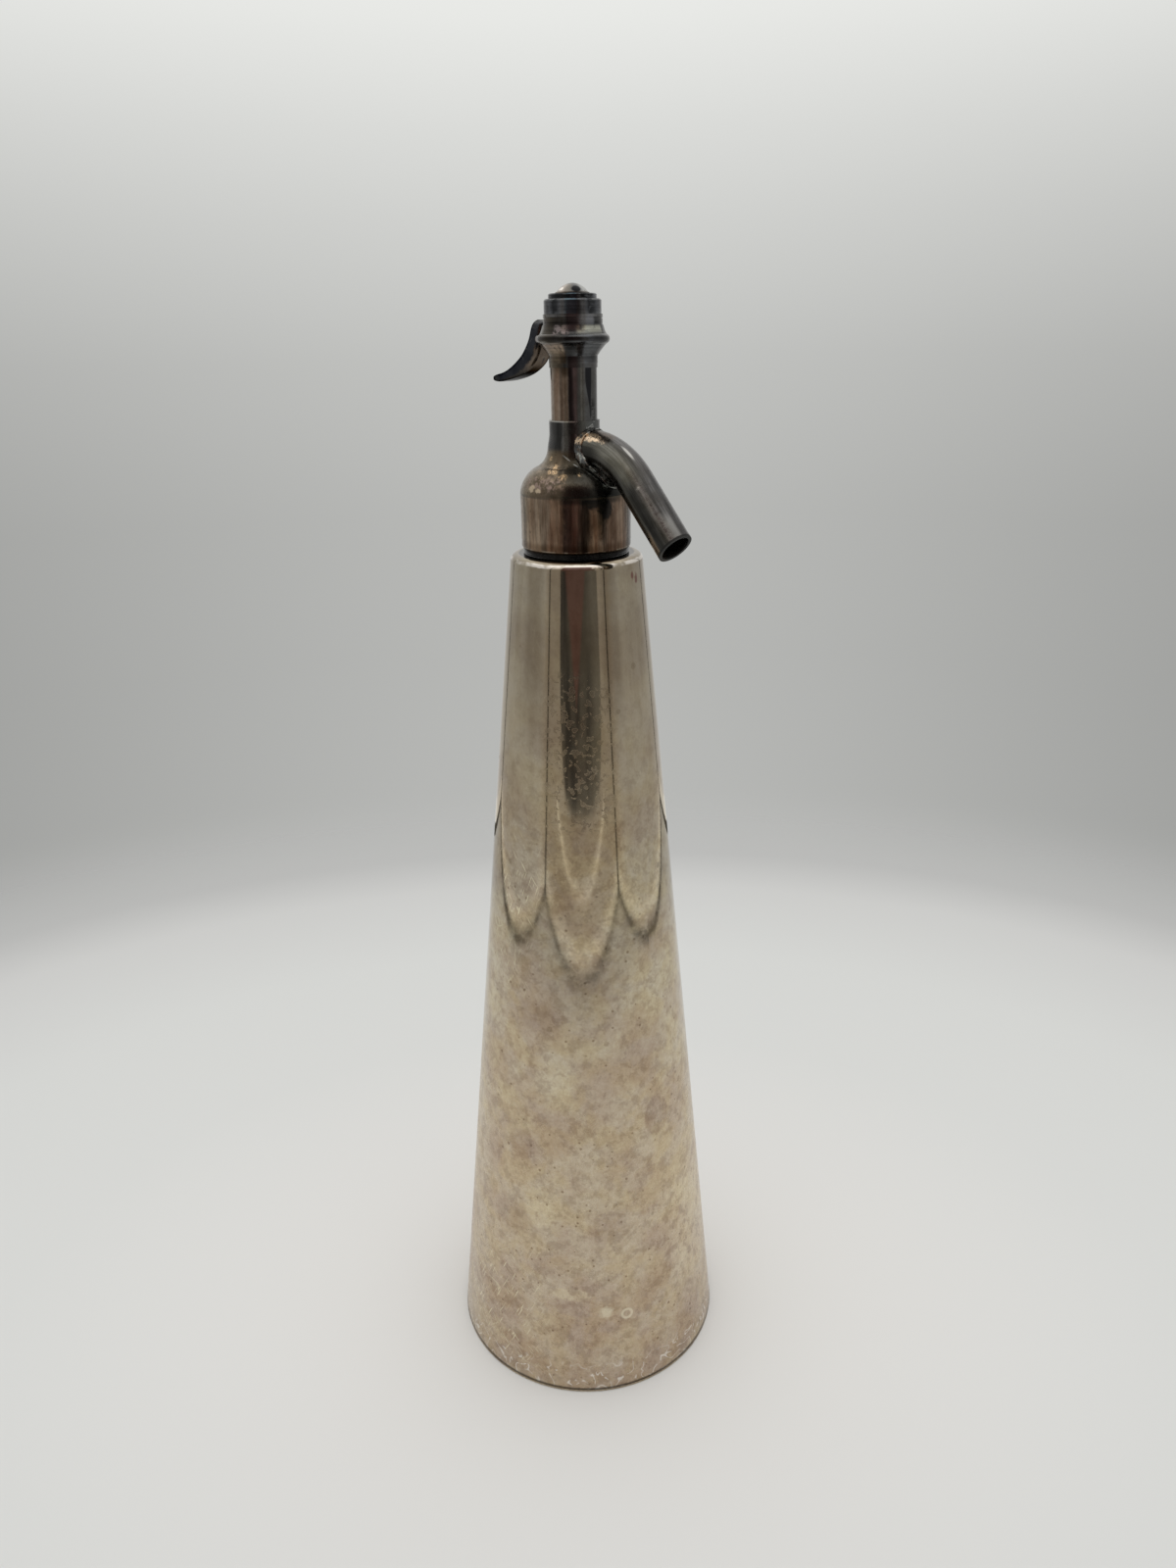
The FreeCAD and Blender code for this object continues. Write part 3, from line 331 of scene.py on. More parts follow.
def patch():
    """One ragged patch round a point. Squeeze above 1 along an axis makes it narrower that way."""
    group, w, given, out = new_group("patch", {
        "Place": NO_PLACE, "Centre": NO_PLACE, "Squeeze": (1.0, 1.0, 1.0),
        "Radius": 3.0, "Ragged": 0.5, "Soft": 0.4,
    }, ["Mask"])
    away = w.vector("MULTIPLY", w.vector("SUBTRACT", given["Place"], given["Centre"]), given["Squeeze"])
    reach = w.over(w.length(away), given["Radius"])
    rag = w.times(w.minus(w.grain(given["Place"], 1.6, 4.0, 0.6), 0.5), w.times(given["Ragged"], 3.0))
    edge = w.plus(reach, rag)
    w.join(out["Mask"], w.rest(w.ease(edge, w.rest(given["Soft"]), w.plus(1.0, given["Soft"]))))
    return group


def height_band():
    """The part between two heights."""
    group, w, given, out = new_group(
        "height_band", {"Place": NO_PLACE, "Low": 0.0, "High": 1.0, "Soft": 0.3}, ["Mask"]
    )
    level = w.along(given["Place"])[2]
    above = w.ease(level, w.minus(given["Low"], given["Soft"]), w.plus(given["Low"], given["Soft"]))
    below = w.ease(level, w.minus(given["High"], given["Soft"]), w.plus(given["High"], given["Soft"]))
    w.join(out["Mask"], w.both(above, w.rest(below)))
    return group


def side_band():
    """The part within some degrees of a turn round the axis."""
    group, w, given, out = new_group(
        "side_band", {"Place": NO_PLACE, "Turn": 0.0, "Spread": 10.0, "Soft": 4.0}, ["Mask"]
    )
    away = w.minus(w.turn(given["Place"]), given["Turn"])
    apart = w.maths("ABSOLUTE", w.maths("WRAP", away, 180.0, -180.0))
    outside = w.ease(apart, w.minus(given["Spread"], given["Soft"]), w.plus(given["Spread"], given["Soft"]))
    w.join(out["Mask"], w.rest(outside))
    return group


def turn_round():
    """The turn round the upright axis as a share of the circle from -180 degrees, with a sway up and down."""
    group, w, given, out = new_group("turn_round", {"Place": NO_PLACE, "Sway": 4.0}, ["Share"])
    wander = w.grain(w.vector("MULTIPLY", given["Place"], (1.0, 1.0, 0.3)), 4.0, 3.0, 0.6)
    swayed = w.plus(w.turn(given["Place"]), w.times(w.minus(wander, 0.5), w.times(given["Sway"], 4.0)))
    w.join(out["Share"], w.over(w.plus(swayed, 180.0), 360.0))
    return group


# The spout's centre line, in millimetres: height of the root, start of the bend and the bend's radius.
SPOUT_CENTRE = 362.85
SPOUT_LEAD = 7.3
SPOUT_BEND = 28.2
SPOUT_ANGLE = math.radians(47.3)
DEGREE_ON_SPOUT = 0.104  # one degree round the spout's wall


def spout_tube():
    """Place on the spout's tube: how far along it, the turn round its centre line and a place for streaks.

    The turn is 0 on the outside of the bend, and the place for streaks is drawn out along the tube.
    """
    group, w, given, out = new_group("spout_tube", {"Place": NO_PLACE}, ["Along", "Round"], places=["Drawn"])
    x, y, z = w.along(given["Place"])[:3]
    ahead = w.minus(x, SPOUT_LEAD)
    above = w.minus(z, SPOUT_CENTRE - SPOUT_BEND)
    bent = w.maths("MINIMUM", w.maths("MAXIMUM", w.maths("ARCTAN2", ahead, above), 0.0), SPOUT_ANGLE)
    sine = w.maths("SINE", bent)
    cosine = w.maths("COSINE", bent)
    rise = w.plus(w.times(ahead, sine), w.times(above, cosine))
    outside = w.minus(rise, SPOUT_BEND)
    straight = w.minus(w.times(ahead, cosine), w.times(above, sine))
    along = w.plus(w.plus(straight, SPOUT_LEAD), w.times(bent, SPOUT_BEND))
    w.join(out["Along"], along)
    w.join(out["Round"], w.maths("DEGREES", w.maths("ARCTAN2", y, outside)))
    w.join(out["Drawn"], w.point(w.times(along, 0.08), y, outside))
    return group


DASH_RADIUS = 34.0  # the sleeve's radius where most of the dashes are


def fine_dashes():
    """Short straight scratches on a round wall, leaning by an angle from upright."""
    group, w, given, out = new_group(
        "fine_dashes", {"Place": NO_PLACE, "Lean": 20.0, "Length": 8.0, "Width": 0.4, "Share": 0.3}, ["Dash"]
    )
    place = w.along(given["Place"])
    across = w.times(w.maths("ARCTAN2", place[1], place[0]), DASH_RADIUS)
    lean = w.maths("RADIANS", given["Lean"])
    sine = w.maths("SINE", lean)
    cosine = w.maths("COSINE", lean)
    run = w.plus(w.times(place[2], cosine), w.times(across, sine))
    side = w.minus(w.times(across, cosine), w.times(place[2], sine))
    cell = w.point(w.over(run, given["Length"]), w.over(side, given["Width"]), 0.0)
    ridge = w.ease(w.grain(cell, 1.0, 0.0), 0.7, 0.78)
    where = w.grain(w.vector("ADD", given["Place"], (11.0, 3.0, 5.0)), 22.0, 2.0)
    w.join(out["Dash"], w.both(ridge, in_patches(w, where, given["Share"])))
    return group


def worm_marks():
    """Rings and loops where corrosion has eaten round a blister."""
    group, w, given, out = new_group("worm_marks", {"Place": NO_PLACE, "Size": 1.8}, ["Loop", "Spot"])
    sized = w.sized(given["Place"], given["Size"])
    level = w.grain(sized, 1.0, 1.0, 0.5, 0.4)
    w.join(out["Loop"], w.rest(w.ease(w.apart(level, 0.6), 0.012, 0.04)))
    w.join(out["Spot"], w.ease(level, 0.6, 0.68))
    return group


CLOUDS = tarnish_clouds()
SPECKLE = fine_speckle()
SCRATCHES = hair_scratches()
PITS = corrosion_pits()
TURNED = turned_lines()
STREAKS = drawn_streaks()
PATCH = patch()
BAND = height_band()
SIDE = side_band()
ROUND = turn_round()
TUBE = spout_tube()
DASHES = fine_dashes()
WORMS = worm_marks()


# --- finishes -----------------------------------------------------------------


def bare_material(name):
    """A material with nothing wired."""
    material = bpy.data.materials.new(name)
    material.use_nodes = True
    material.node_tree.nodes.clear()
    return material


class Finish(Wiring):
    """A material being wired. mm is the surface's place in millimetres, and colour what is on it so far."""

    def __init__(self, name):
        self.material = bare_material(name)
        super().__init__(self.material.node_tree)
        place = self.add("ShaderNodeTexCoord").outputs["Object"]
        self.mm = self.vector("MULTIPLY", place, (1000.0, 1000.0, 1000.0))
        self.colour = None

    def coat(self, over, *masks):
        """Lays a colour over what is there."""
        self.colour = self.lay(self.colour, over, *masks)

    def stain(self, tone, *masks):
        """Multiplies what is there by a tone."""
        self.colour = self.tint(self.colour, tone, *masks)

    def moved(self, x, y, z):
        """The surface's place shifted, so that a pattern used twice differs."""
        return self.vector("ADD", self.mm, (x, y, z))

    def from_axis(self):
        """How far the surface is from the upright axis."""
        return self.length(self.vector("MULTIPLY", self.mm, (1.0, 1.0, 0.0)))

    def side(self, turn, spread, soft):
        """The part within some degrees of a turn round the axis."""
        return self.use(SIDE, Place=self.mm, Turn=turn, Spread=spread, Soft=soft)

    def band(self, low, high, soft):
        """The part between two heights."""
        return self.use(BAND, Place=self.mm, Low=low, High=high, Soft=soft)

    def patch(self, centre, radius, ragged=0.5, soft=0.4, squeeze=(1.0, 1.0, 1.0), place=None):
        """A ragged patch round a point of the surface, or of another place that follows it."""
        place = self.mm if place is None else place
        return self.use(
            PATCH, Place=place, Centre=centre, Radius=radius, Ragged=ragged, Soft=soft, Squeeze=squeeze
        )

    def clouds(self, size, shift):
        """The patches of tarnish, and the finer blotches in them."""
        return self.use(CLOUDS, Place=self.mm, Size=size, Shift=shift)[:2]

    def shade(self, roughness, relief=None, depth=0.02, metallic=1.0, **plain):
        """The finished material. relief is a height from 0 to 1, and depth is what 1 stands for, in mm."""
        shader = self.add("ShaderNodeBsdfPrincipled", {"Roughness": roughness, "Metallic": metallic})
        self.dye(shader.inputs["Base Color"], self.colour)
        for name, value in plain.items():
            self.join(shader.inputs[name.replace("_", " ")], value)
        if relief is not None:
            bump = self.add("ShaderNodeBump", {"Strength": 1.0, "Distance": depth * MM, "Height": relief})
            self.join(shader.inputs["Normal"], bump.outputs[0])
        self.add("ShaderNodeOutputMaterial", {"Surface": shader.outputs[0]})
        return self.material


def by_turn(stops):
    """Colours given by their turn round an axis, in degrees, as places from 0 to 1."""
    return [((turn + 180.0) / 360.0, colour) for turn, colour in stops]


def ends(node):
    """The heights of a node's lower and upper end, in millimetres."""
    low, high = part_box(node)
    return round(low[2] / MM, 2), round(high[2] / MM, 2)


SLEEVE_TOP = ends("outer_sleeve")[1]
COLLAR_FOOT, COLLAR_TOP = ends("neck_collar")
HEAD_TOP = ends("head_body")[1]
HOUSING_FOOT, HOUSING_TOP = ends("lever_housing")
CAP_TOP = ends("cap")[1]
DISC_TOP = ends("cap_disc")[1]
FLARE_HEIGHT = 6.4  # the housing's widest ring stands that far over its foot


def sleeve_finish():
    """Silver plate gone warm: polished and grey at the top, worn bare and dull towards the foot."""
    w = Finish("sleeve_plate")
    mm = w.mm
    height = w.along(mm)[2]
    reach = w.from_axis()
    cloud = w.clouds(24.0, 3.0)[0]
    blotch = w.clouds(12.0, 57.0)[0]
    freckle = w.ease(w.grain(w.moved(17.0, 3.0, 29.0), 4.5, 5.0, 0.7), 0.47, 0.6)
    speckle = w.use(SPECKLE, Place=mm, Size=1.1)
    coarse = w.use(SPECKLE, Place=w.moved(4.0, 9.0, 2.0), Size=3.2)
    streak = w.use(STREAKS, Place=mm, Width=3.5, Stretch=0.03)
    upper = w.ease(height, 215.0, 290.0)
    lower = w.rest(w.times(upper, 0.65))

    w.colour = w.ramp(w.over(height, SLEEVE_TOP), (
        (0.0, (0.60, 0.515, 0.405)), (0.14, (0.615, 0.527, 0.412)), (0.3, (0.66, 0.565, 0.43)),
        (0.42, (0.68, 0.59, 0.453)), (0.55, (0.665, 0.59, 0.455)), (0.64, (0.61, 0.545, 0.42)),
        (0.74, (0.59, 0.52, 0.395)), (0.82, (0.51, 0.445, 0.335)), (0.9, (0.45, 0.395, 0.30)),
        (1.0, (0.41, 0.365, 0.285)),
    ))
    w.stain((0.86, 0.81, 0.82), cloud, lower)
    w.stain((1.0, 0.97, 0.87), blotch, lower)
    bare = w.either(
        w.patch((18.4, -41.9, 84.0), 6.0, ragged=0.45, soft=0.2, squeeze=(1.0, 1.0, 0.7)),
        w.patch((31.7, -38.0, 46.6), 8.0, ragged=0.35, soft=0.25, squeeze=(1.0, 1.0, 3.0)),
        w.both(w.patch((21.9, -33.7, 141.0), 9.0, ragged=0.5, soft=0.3, squeeze=(1.0, 1.0, 1.3)), 0.7),
        w.patch((44.8, 16.4, 63.8), 17.0, ragged=0.25, soft=0.5, squeeze=(1.0, 1.0, 0.6)),
    )
    w.coat((0.79, 0.70, 0.50), bare, w.between(0.45, 0.2, freckle))
    w.stain((0.77, 0.74, 0.73), freckle, lower, 0.8)
    w.stain((0.90, 0.88, 0.86), speckle, lower, 0.8)
    w.stain((0.90, 0.87, 0.84), coarse, lower, 0.8)
    dot = w.use(PITS, Place=w.moved(1.0, 6.0, 3.0), Size=3.4, Share=0.55)[0]
    w.stain((0.46, 0.39, 0.34), dot, w.ease(height, 250.0, 200.0), 0.75)
    stained = w.either(
        w.patch((42.4, -2.1, 119.6), 7.5, ragged=0.2, soft=0.12, squeeze=(1.3, 1.3, 0.9)),
        w.patch((9.7, -42.4, 109.7), 6.5, ragged=0.25, soft=0.15, squeeze=(1.0, 1.0, 1.0)),
        w.patch((14.4, -35.2, 165.6), 10.0, ragged=0.3, soft=0.3, squeeze=(1.0, 1.0, 1.5)),
        w.both(w.patch((39.2, -2.9, 149.6), 10.0, ragged=0.3, soft=0.3, squeeze=(1.0, 1.0, 0.9)), 0.6),
        w.patch((6.4, -45.9, 75.8), 9.0, ragged=0.3, soft=0.3, squeeze=(1.0, 1.0, 1.2)),
        w.both(w.patch((39.2, -25.1, 77.0), 8.0, ragged=0.4, soft=0.3), 0.7),
    )
    w.stain((0.80, 0.76, 0.78), stained, 0.7)
    w.stain((0.86, 0.84, 0.80), upper, streak, 0.7)
    bands = w.either(w.both(w.side(-16.0, 7.0, 4.0), 0.85), w.both(w.side(-80.0, 8.0, 5.0), 0.6))
    w.stain((0.68, 0.65, 0.63), bands, w.ease(height, 262.0, 296.0))
    w.stain((0.82, 0.80, 0.80), upper, cloud, 0.6)

    sparse = w.use(PITS, Place=w.moved(31.0, 5.0, 12.0), Size=7.0, Share=0.25)[0]
    loop, spot = w.use(WORMS, Place=mm, Size=2.1)[:2]
    eaten = w.both(w.band(238.0, 292.0, 3.0), w.side(-42.0, 24.0, 10.0))
    marks = w.either(
        w.both(w.either(loop, w.both(spot, 0.5)), eaten),
        w.both(sparse, w.ease(height, SLEEVE_TOP - 10.5, SLEEVE_TOP - 16.5), 0.7),
    )
    w.stain((0.55, 0.51, 0.46), marks, 0.6)
    left = w.side(-92.0, 26.0, 12.0)
    patchy = w.either(w.both(left, w.band(176.0, 236.0, 10.0)), w.both(left, w.band(4.0, 60.0, 10.0)), 0.05)
    dashes = w.either(
        w.use(DASHES, Place=mm, Lean=18.0, Length=7.0, Width=0.42, Share=0.62),
        w.use(DASHES, Place=w.moved(0.0, 0.0, 41.0), Lean=-38.0, Length=6.0, Width=0.42, Share=0.55),
    )
    scratch = w.both(
        w.either(dashes, w.both(w.use(SCRATCHES, Place=mm, Length=30.0, Width=0.005, Share=0.35), 0.5)),
        patchy,
    )
    w.coat((0.86, 0.80, 0.58), scratch, 0.75)
    scuffs = w.both(
        w.band(0.6, 12.0, 4.0),
        w.use(SCRATCHES, Place=w.moved(3.0, 8.0, 2.0), Length=7.0, Width=0.03, Share=0.6),
    )
    w.coat((0.93, 0.90, 0.84), scuffs, 0.6)
    away = w.length(w.vector("SUBTRACT", mm, (45.8, -21.4, 35.7)))
    ringlet = w.either(
        w.ease(w.apart(away, 2.0), 0.75, 0.3), w.patch((42.0, -29.0, 38.0), 2.6, ragged=0.5, soft=0.4)
    )
    w.coat((0.84, 0.78, 0.60), ringlet, 0.55)
    red = w.either(
        w.patch((22.6, 4.1, 322.8), 1.1, squeeze=(1.0, 1.6, 0.8)),
        w.patch((22.2, 6.3, 321.5), 1.2, squeeze=(1.0, 1.6, 0.8)),
    )
    w.coat((0.16, 0.06, 0.05), red, 0.8)

    ragged = w.times(w.grain(mm, 4.0, 3.0), 0.9)
    level = w.plus(height, ragged)
    # painted highlight: a pale uneven line along the shoulder's rounding, where it mirrors the tent's bright
    # top
    shoulder_highlight = w.both(
        w.ease(level, SLEEVE_TOP - 1.6, SLEEVE_TOP - 1.1), w.ease(level, SLEEVE_TOP - 0.1, SLEEVE_TOP - 0.5)
    )
    w.coat((0.8, 0.745, 0.68), shoulder_highlight, w.ease(w.grain(mm, 6.0, 2.0), 0.34, 0.55))
    # painted shade: near-black on the sleeve's top face next to the washer, standing in for the washer's
    # shadow and dark reflection in the groove
    shade_by_washer = w.both(
        w.ease(w.plus(reach, ragged), 20.4, 19.8), w.ease(height, SLEEVE_TOP - 1.1, SLEEVE_TOP - 0.6)
    )
    w.coat((0.04, 0.037, 0.033), shade_by_washer, 0.9)
    # painted shadow: the foot darkened into the thin dark line of shade under the sleeve's edge
    foot = w.both(w.ease(height, 2.4, 1.6), 0.9)
    w.stain((0.17, 0.17, 0.17), foot)

    film = w.ease(w.grain(w.moved(2.0, 7.0, 5.0), 5.0, 4.0, 0.6), 0.42, 0.62)
    clear = w.ease(height, 110.0, 190.0)
    dull = w.between(
        w.between(0.26, 0.08, clear),
        w.between(w.between(0.30, 0.11, clear), 0.07, w.ease(height, 200.0, 275.0)),
        film,
    )
    roughness = w.between(dull, 0.42, w.both(marks, 0.9))
    wave = w.grain(mm, 9.0, 1.0)
    grain = w.minus(
        w.times(w.plus(speckle, coarse), w.between(0.02, 0.0, w.ease(height, 90.0, 150.0))),
        w.times(marks, 0.05),
    )
    relief = w.plus(w.times(wave, 0.04), grain)
    return w.shade(roughness, relief, depth=0.12)


# near-black, for the darkest marks on the head
NEAR_BLACK = (0.02, 0.02, 0.019)


def head_metal(name, stops, shift, sway=4.0):
    """What every plate on the head starts with: tarnish and painted reflections of the tent, changing round
    the axis, broken up by clouds.
    """
    w = Finish(name)
    cloud, mottle = w.clouds(8.0, shift)
    w.colour = w.ramp(w.use(ROUND, Place=w.mm, Sway=sway), by_turn(stops))
    w.stain((0.72, 0.70, 0.68), cloud, 0.7)
    w.stain((0.66, 0.62, 0.58), mottle, 0.55)
    return w, mottle


def wavy(w, mottle, size=3.0):
    """A plate that isn't quite smooth: slow waves, and a little of the tarnish's own thickness."""
    return w.plus(w.times(w.grain(w.mm, size, 1.5), 0.8), w.times(mottle, 0.2))


def collar_finish():
    """Brown and nearly black by turns, streaked up and down, with a dark patch under the spout."""
    # the colours round the axis are tarnish with painted reflections of the tent; the near-black at -36 and
    # -31 degrees is its dark front slot
    w, mottle = head_metal("collar_plate", (
        (-180, (0.20, 0.16, 0.12)), (-122, (0.36, 0.32, 0.25)), (-110, (0.30, 0.255, 0.19)),
        (-100, (0.42, 0.335, 0.24)), (-84, (0.36, 0.28, 0.205)), (-76, (0.22, 0.175, 0.13)),
        (-68, (0.30, 0.21, 0.15)), (-60, (0.26, 0.19, 0.14)), (-53, (0.15, 0.10, 0.085)),
        (-43, (0.27, 0.19, 0.145)), (-36, (0.075, 0.058, 0.048)), (-31, (0.08, 0.062, 0.05)),
        (-26, (0.29, 0.20, 0.135)), (-14, (0.15, 0.11, 0.08)), (0, (0.18, 0.125, 0.09)),
        (13, (0.32, 0.235, 0.17)), (24, (0.11, 0.088, 0.07)), (34, (0.07, 0.062, 0.05)),
        (110, (0.16, 0.12, 0.09)), (180, (0.20, 0.16, 0.12)),
    ), 11.0)
    mm = w.mm
    thin = w.use(STREAKS, Place=w.moved(9.0, 3.0, 0.0), Width=1.0, Stretch=0.07)
    broad = w.use(STREAKS, Place=mm, Width=2.6, Stretch=0.12)
    w.stain((1.0, 0.84, 0.76), broad, 0.6)
    w.stain((0.5, 0.47, 0.45), thin, 0.85)
    bright = w.both(
        w.use(STREAKS, Place=w.moved(2.0, 13.0, 0.0), Width=0.8, Stretch=0.05),
        w.use(STREAKS, Place=w.moved(5.0, 1.0, 0.0), Width=3.2, Stretch=0.3),
    )
    w.coat((0.42, 0.33, 0.25), bright, 0.35)
    pit = w.use(PITS, Place=mm, Size=2.6, Share=0.3)[0]
    w.stain((0.45, 0.42, 0.38), pit, 0.6)
    # darker on the collar straight under the spout
    dark_under_spout = w.either(
        w.patch((18.1, -3.6, 345.2), 2.6, ragged=0.5, soft=0.2, squeeze=(1.0, 1.0, 0.8)),
        w.patch((17.2, -6.6, 347.9), 4.4, ragged=0.5, soft=0.3, squeeze=(1.0, 1.0, 1.4)),
    )
    w.coat(NEAR_BLACK, dark_under_spout, 0.95)
    top_band = w.both(w.band(COLLAR_TOP - 1.9, COLLAR_TOP + 1.5, 0.7), w.side(-25.0, 34.0, 9.0))
    w.coat(NEAR_BLACK, top_band, 0.7)
    seam = w.band(COLLAR_TOP - 0.6, COLLAR_TOP + 0.5, 0.15)
    w.coat((0.08, 0.068, 0.05), seam, 0.6)
    foot = w.band(COLLAR_FOOT - 1.4, COLLAR_FOOT + 3.0, 1.0)
    w.stain((0.62, 0.57, 0.52), foot)
    # painted highlight: a thin pale broken line just above the collar's foot, where its lower edge catches
    # the light
    worn = w.both(
        w.band(COLLAR_FOOT + 0.5, COLLAR_FOOT + 0.95, 0.12), w.ease(w.grain(mm, 3.0, 2.0), 0.42, 0.6)
    )
    w.coat((0.42, 0.37, 0.30), worn, 0.55)
    return w.shade(w.between(0.14, 0.27, mottle), wavy(w, mottle, 4.0), depth=0.035)


def head_finish():
    """The dome is brown to black with gilt flecks. The socket above it is darker, and daubed with solder."""
    # the colours round the axis are tarnish together with painted reflections of the tent's pale walls and
    # dark front slot
    w, mottle = head_metal("head_plate", (
        (-180, (0.16, 0.13, 0.10)), (-125, (0.27, 0.235, 0.18)), (-106, (0.25, 0.205, 0.145)),
        (-90, (0.15, 0.118, 0.08)), (-76, (0.13, 0.10, 0.07)), (-66, (0.105, 0.085, 0.062)),
        (-55, (0.095, 0.08, 0.06)), (-44, (0.08, 0.07, 0.055)), (-33, (0.075, 0.07, 0.06)),
        (-24, (0.05, 0.048, 0.042)), (-12, (0.035, 0.035, 0.033)), (4, (0.05, 0.05, 0.045)),
        (18, (0.12, 0.11, 0.09)), (34, (0.17, 0.16, 0.13)), (110, (0.13, 0.11, 0.085)),
        (180, (0.16, 0.13, 0.10)),
    ), 40.0, 8.0)
    mm = w.mm
    pit, ring = w.use(PITS, Place=mm, Size=1.9, Share=0.6)[:2]
    fleck = w.ease(w.grain(mm, 1.5, 3.0, 0.6), 0.44, 0.6)
    left = w.side(-92.0, 34.0, 14.0)
    lilac = w.both(w.side(-84.0, 26.0, 9.0), w.band(COLLAR_TOP + 1.9, COLLAR_TOP + 5.7, 1.3), fleck)
    w.coat((0.32, 0.235, 0.20), lilac, 0.8)
    bronze = w.both(
        left,
        w.band(COLLAR_TOP + 3.5, COLLAR_TOP + 9.5, 1.5),
        w.ease(w.grain(w.moved(5.0, 2.0, 9.0), 1.7, 4.0, 0.65), 0.5, 0.6),
    )
    w.coat((0.31, 0.235, 0.165), bronze, 0.7)
    leaf = w.either(
        w.patch((-1.0, -10.2, 359.9), 0.9, ragged=0.8, soft=0.25, squeeze=(1.0, 1.0, 0.8)),
        w.patch((3.4, -12.6, 356.8), 2.1, ragged=0.9, soft=0.25, squeeze=(1.0, 1.0, 0.8)),
        w.patch((8.3, -13.3, 354.6), 1.3, ragged=0.8, soft=0.3),
        w.patch((11.9, -8.8, 355.9), 1.0, ragged=0.8, soft=0.3),
    )
    leaf = w.both(leaf, w.ease(w.grain(mm, 0.8, 3.0, 0.65), 0.44, 0.54))
    w.coat((0.62, 0.43, 0.25), leaf, 0.9)
    shine = w.either(
        w.patch((-1.8, -17.8, 350.9), 1.1, ragged=0.7, soft=0.25, squeeze=(0.7, 1.0, 1.0)),
        w.patch((1.6, -17.9, 350.4), 0.8, ragged=0.7, soft=0.25, squeeze=(0.6, 1.0, 1.2)),
    )
    w.coat((0.56, 0.45, 0.32), shine, 0.85)
    shadow = w.both(w.side(-52.0, 16.0, 6.0), w.band(COLLAR_TOP + 5.5, COLLAR_TOP + 12.5, 1.5))
    w.stain((0.5, 0.5, 0.48), shadow, 0.8)
    dark_side = w.both(w.side(-31.0, 8.0, 3.0), w.band(COLLAR_TOP + 10.5, COLLAR_TOP + 14.0, 1.0))
    w.coat(NEAR_BLACK, dark_side, 0.9)
    w.stain((0.30, 0.27, 0.24), w.either(pit, w.both(ring, 0.5)), left, 0.9)
    foot = w.both(w.band(COLLAR_TOP - 0.5, COLLAR_TOP + 2.9, 0.8), w.side(-14.0, 38.0, 10.0))
    w.coat(NEAR_BLACK, foot, 0.75)

    streak = w.use(STREAKS, Place=mm, Width=1.3, Stretch=0.1)
    socket = w.ease(w.along(mm)[2], HEAD_TOP - 10.4, HEAD_TOP - 8.2)
    # the socket's greys round the axis: tarnish together with painted reflections of the tent's pale walls
    # and dark front slot
    greys = (
        (-180, 0.09), (-125, 0.07), (-112, 0.055), (-97, 0.075), (-88, 0.04), (-76, 0.035), (-69, 0.12),
        (-58, 0.085), (-46, 0.05), (-36, 0.14), (-5, 0.12), (24, 0.08), (180, 0.09),
    )
    warm_greys = [(turn, (grey, grey * 0.99, grey * 0.96)) for turn, grey in greys]
    steel = w.ramp(w.use(ROUND, Place=mm, Sway=3.0), by_turn(warm_greys))
    steel = w.tint(steel, (0.5, 0.48, 0.46), streak, 0.7)
    w.coat(steel, socket)
    daub = w.both(w.side(-8.0, 31.0, 7.0), w.band(HEAD_TOP - 5.4, HEAD_TOP - 0.2, 0.8))
    heaped = w.use(WORMS, Place=mm, Size=2.6)
    w.coat((0.10, 0.104, 0.10), daub, 0.85)
    w.coat((0.38, 0.38, 0.365), daub, w.either(heaped[0], w.times(heaped[1], 0.3)), 0.7)
    rim = w.both(w.ease(w.along(mm)[2], HEAD_TOP - 0.5, HEAD_TOP - 0.3), w.side(-90.0, 50.0, 7.0))
    w.coat((0.50, 0.49, 0.45), rim, 0.75)
    drawn = w.use(TUBE, Place=mm)[2]
    away = w.plus(w.length(w.vector("MULTIPLY", drawn, (0.0, 1.0, 1.0))), w.times(w.grain(mm, 2.4, 2.0), 1.2))
    beside = w.both(
        w.ease(w.along(mm)[0], 2.8, 4.6),
        w.ease(w.along(mm)[1], -1.5, -3.5),
        w.ease(w.along(mm)[2], HEAD_TOP - 4.4, HEAD_TOP - 6.9),
    )
    edge = w.both(w.ease(w.apart(away, 9.3), 0.26, 0.08), beside, w.ease(w.grain(mm, 1.6, 3.0), 0.38, 0.55))
    w.coat((0.33, 0.335, 0.325), edge, 0.6)
    relief = w.minus(
        w.plus(wavy(w, mottle, 2.6), w.both(daub, heaped[1])),
        w.times(w.either(pit, w.times(leaf, 0.4)), 0.35),
    )
    return w.shade(w.between(0.17, 0.32, mottle), relief, depth=0.05)


MOUTH_SLOPE = 0.084  # the mouth is cut askew: how much shorter the tube is for each millimetre outwards


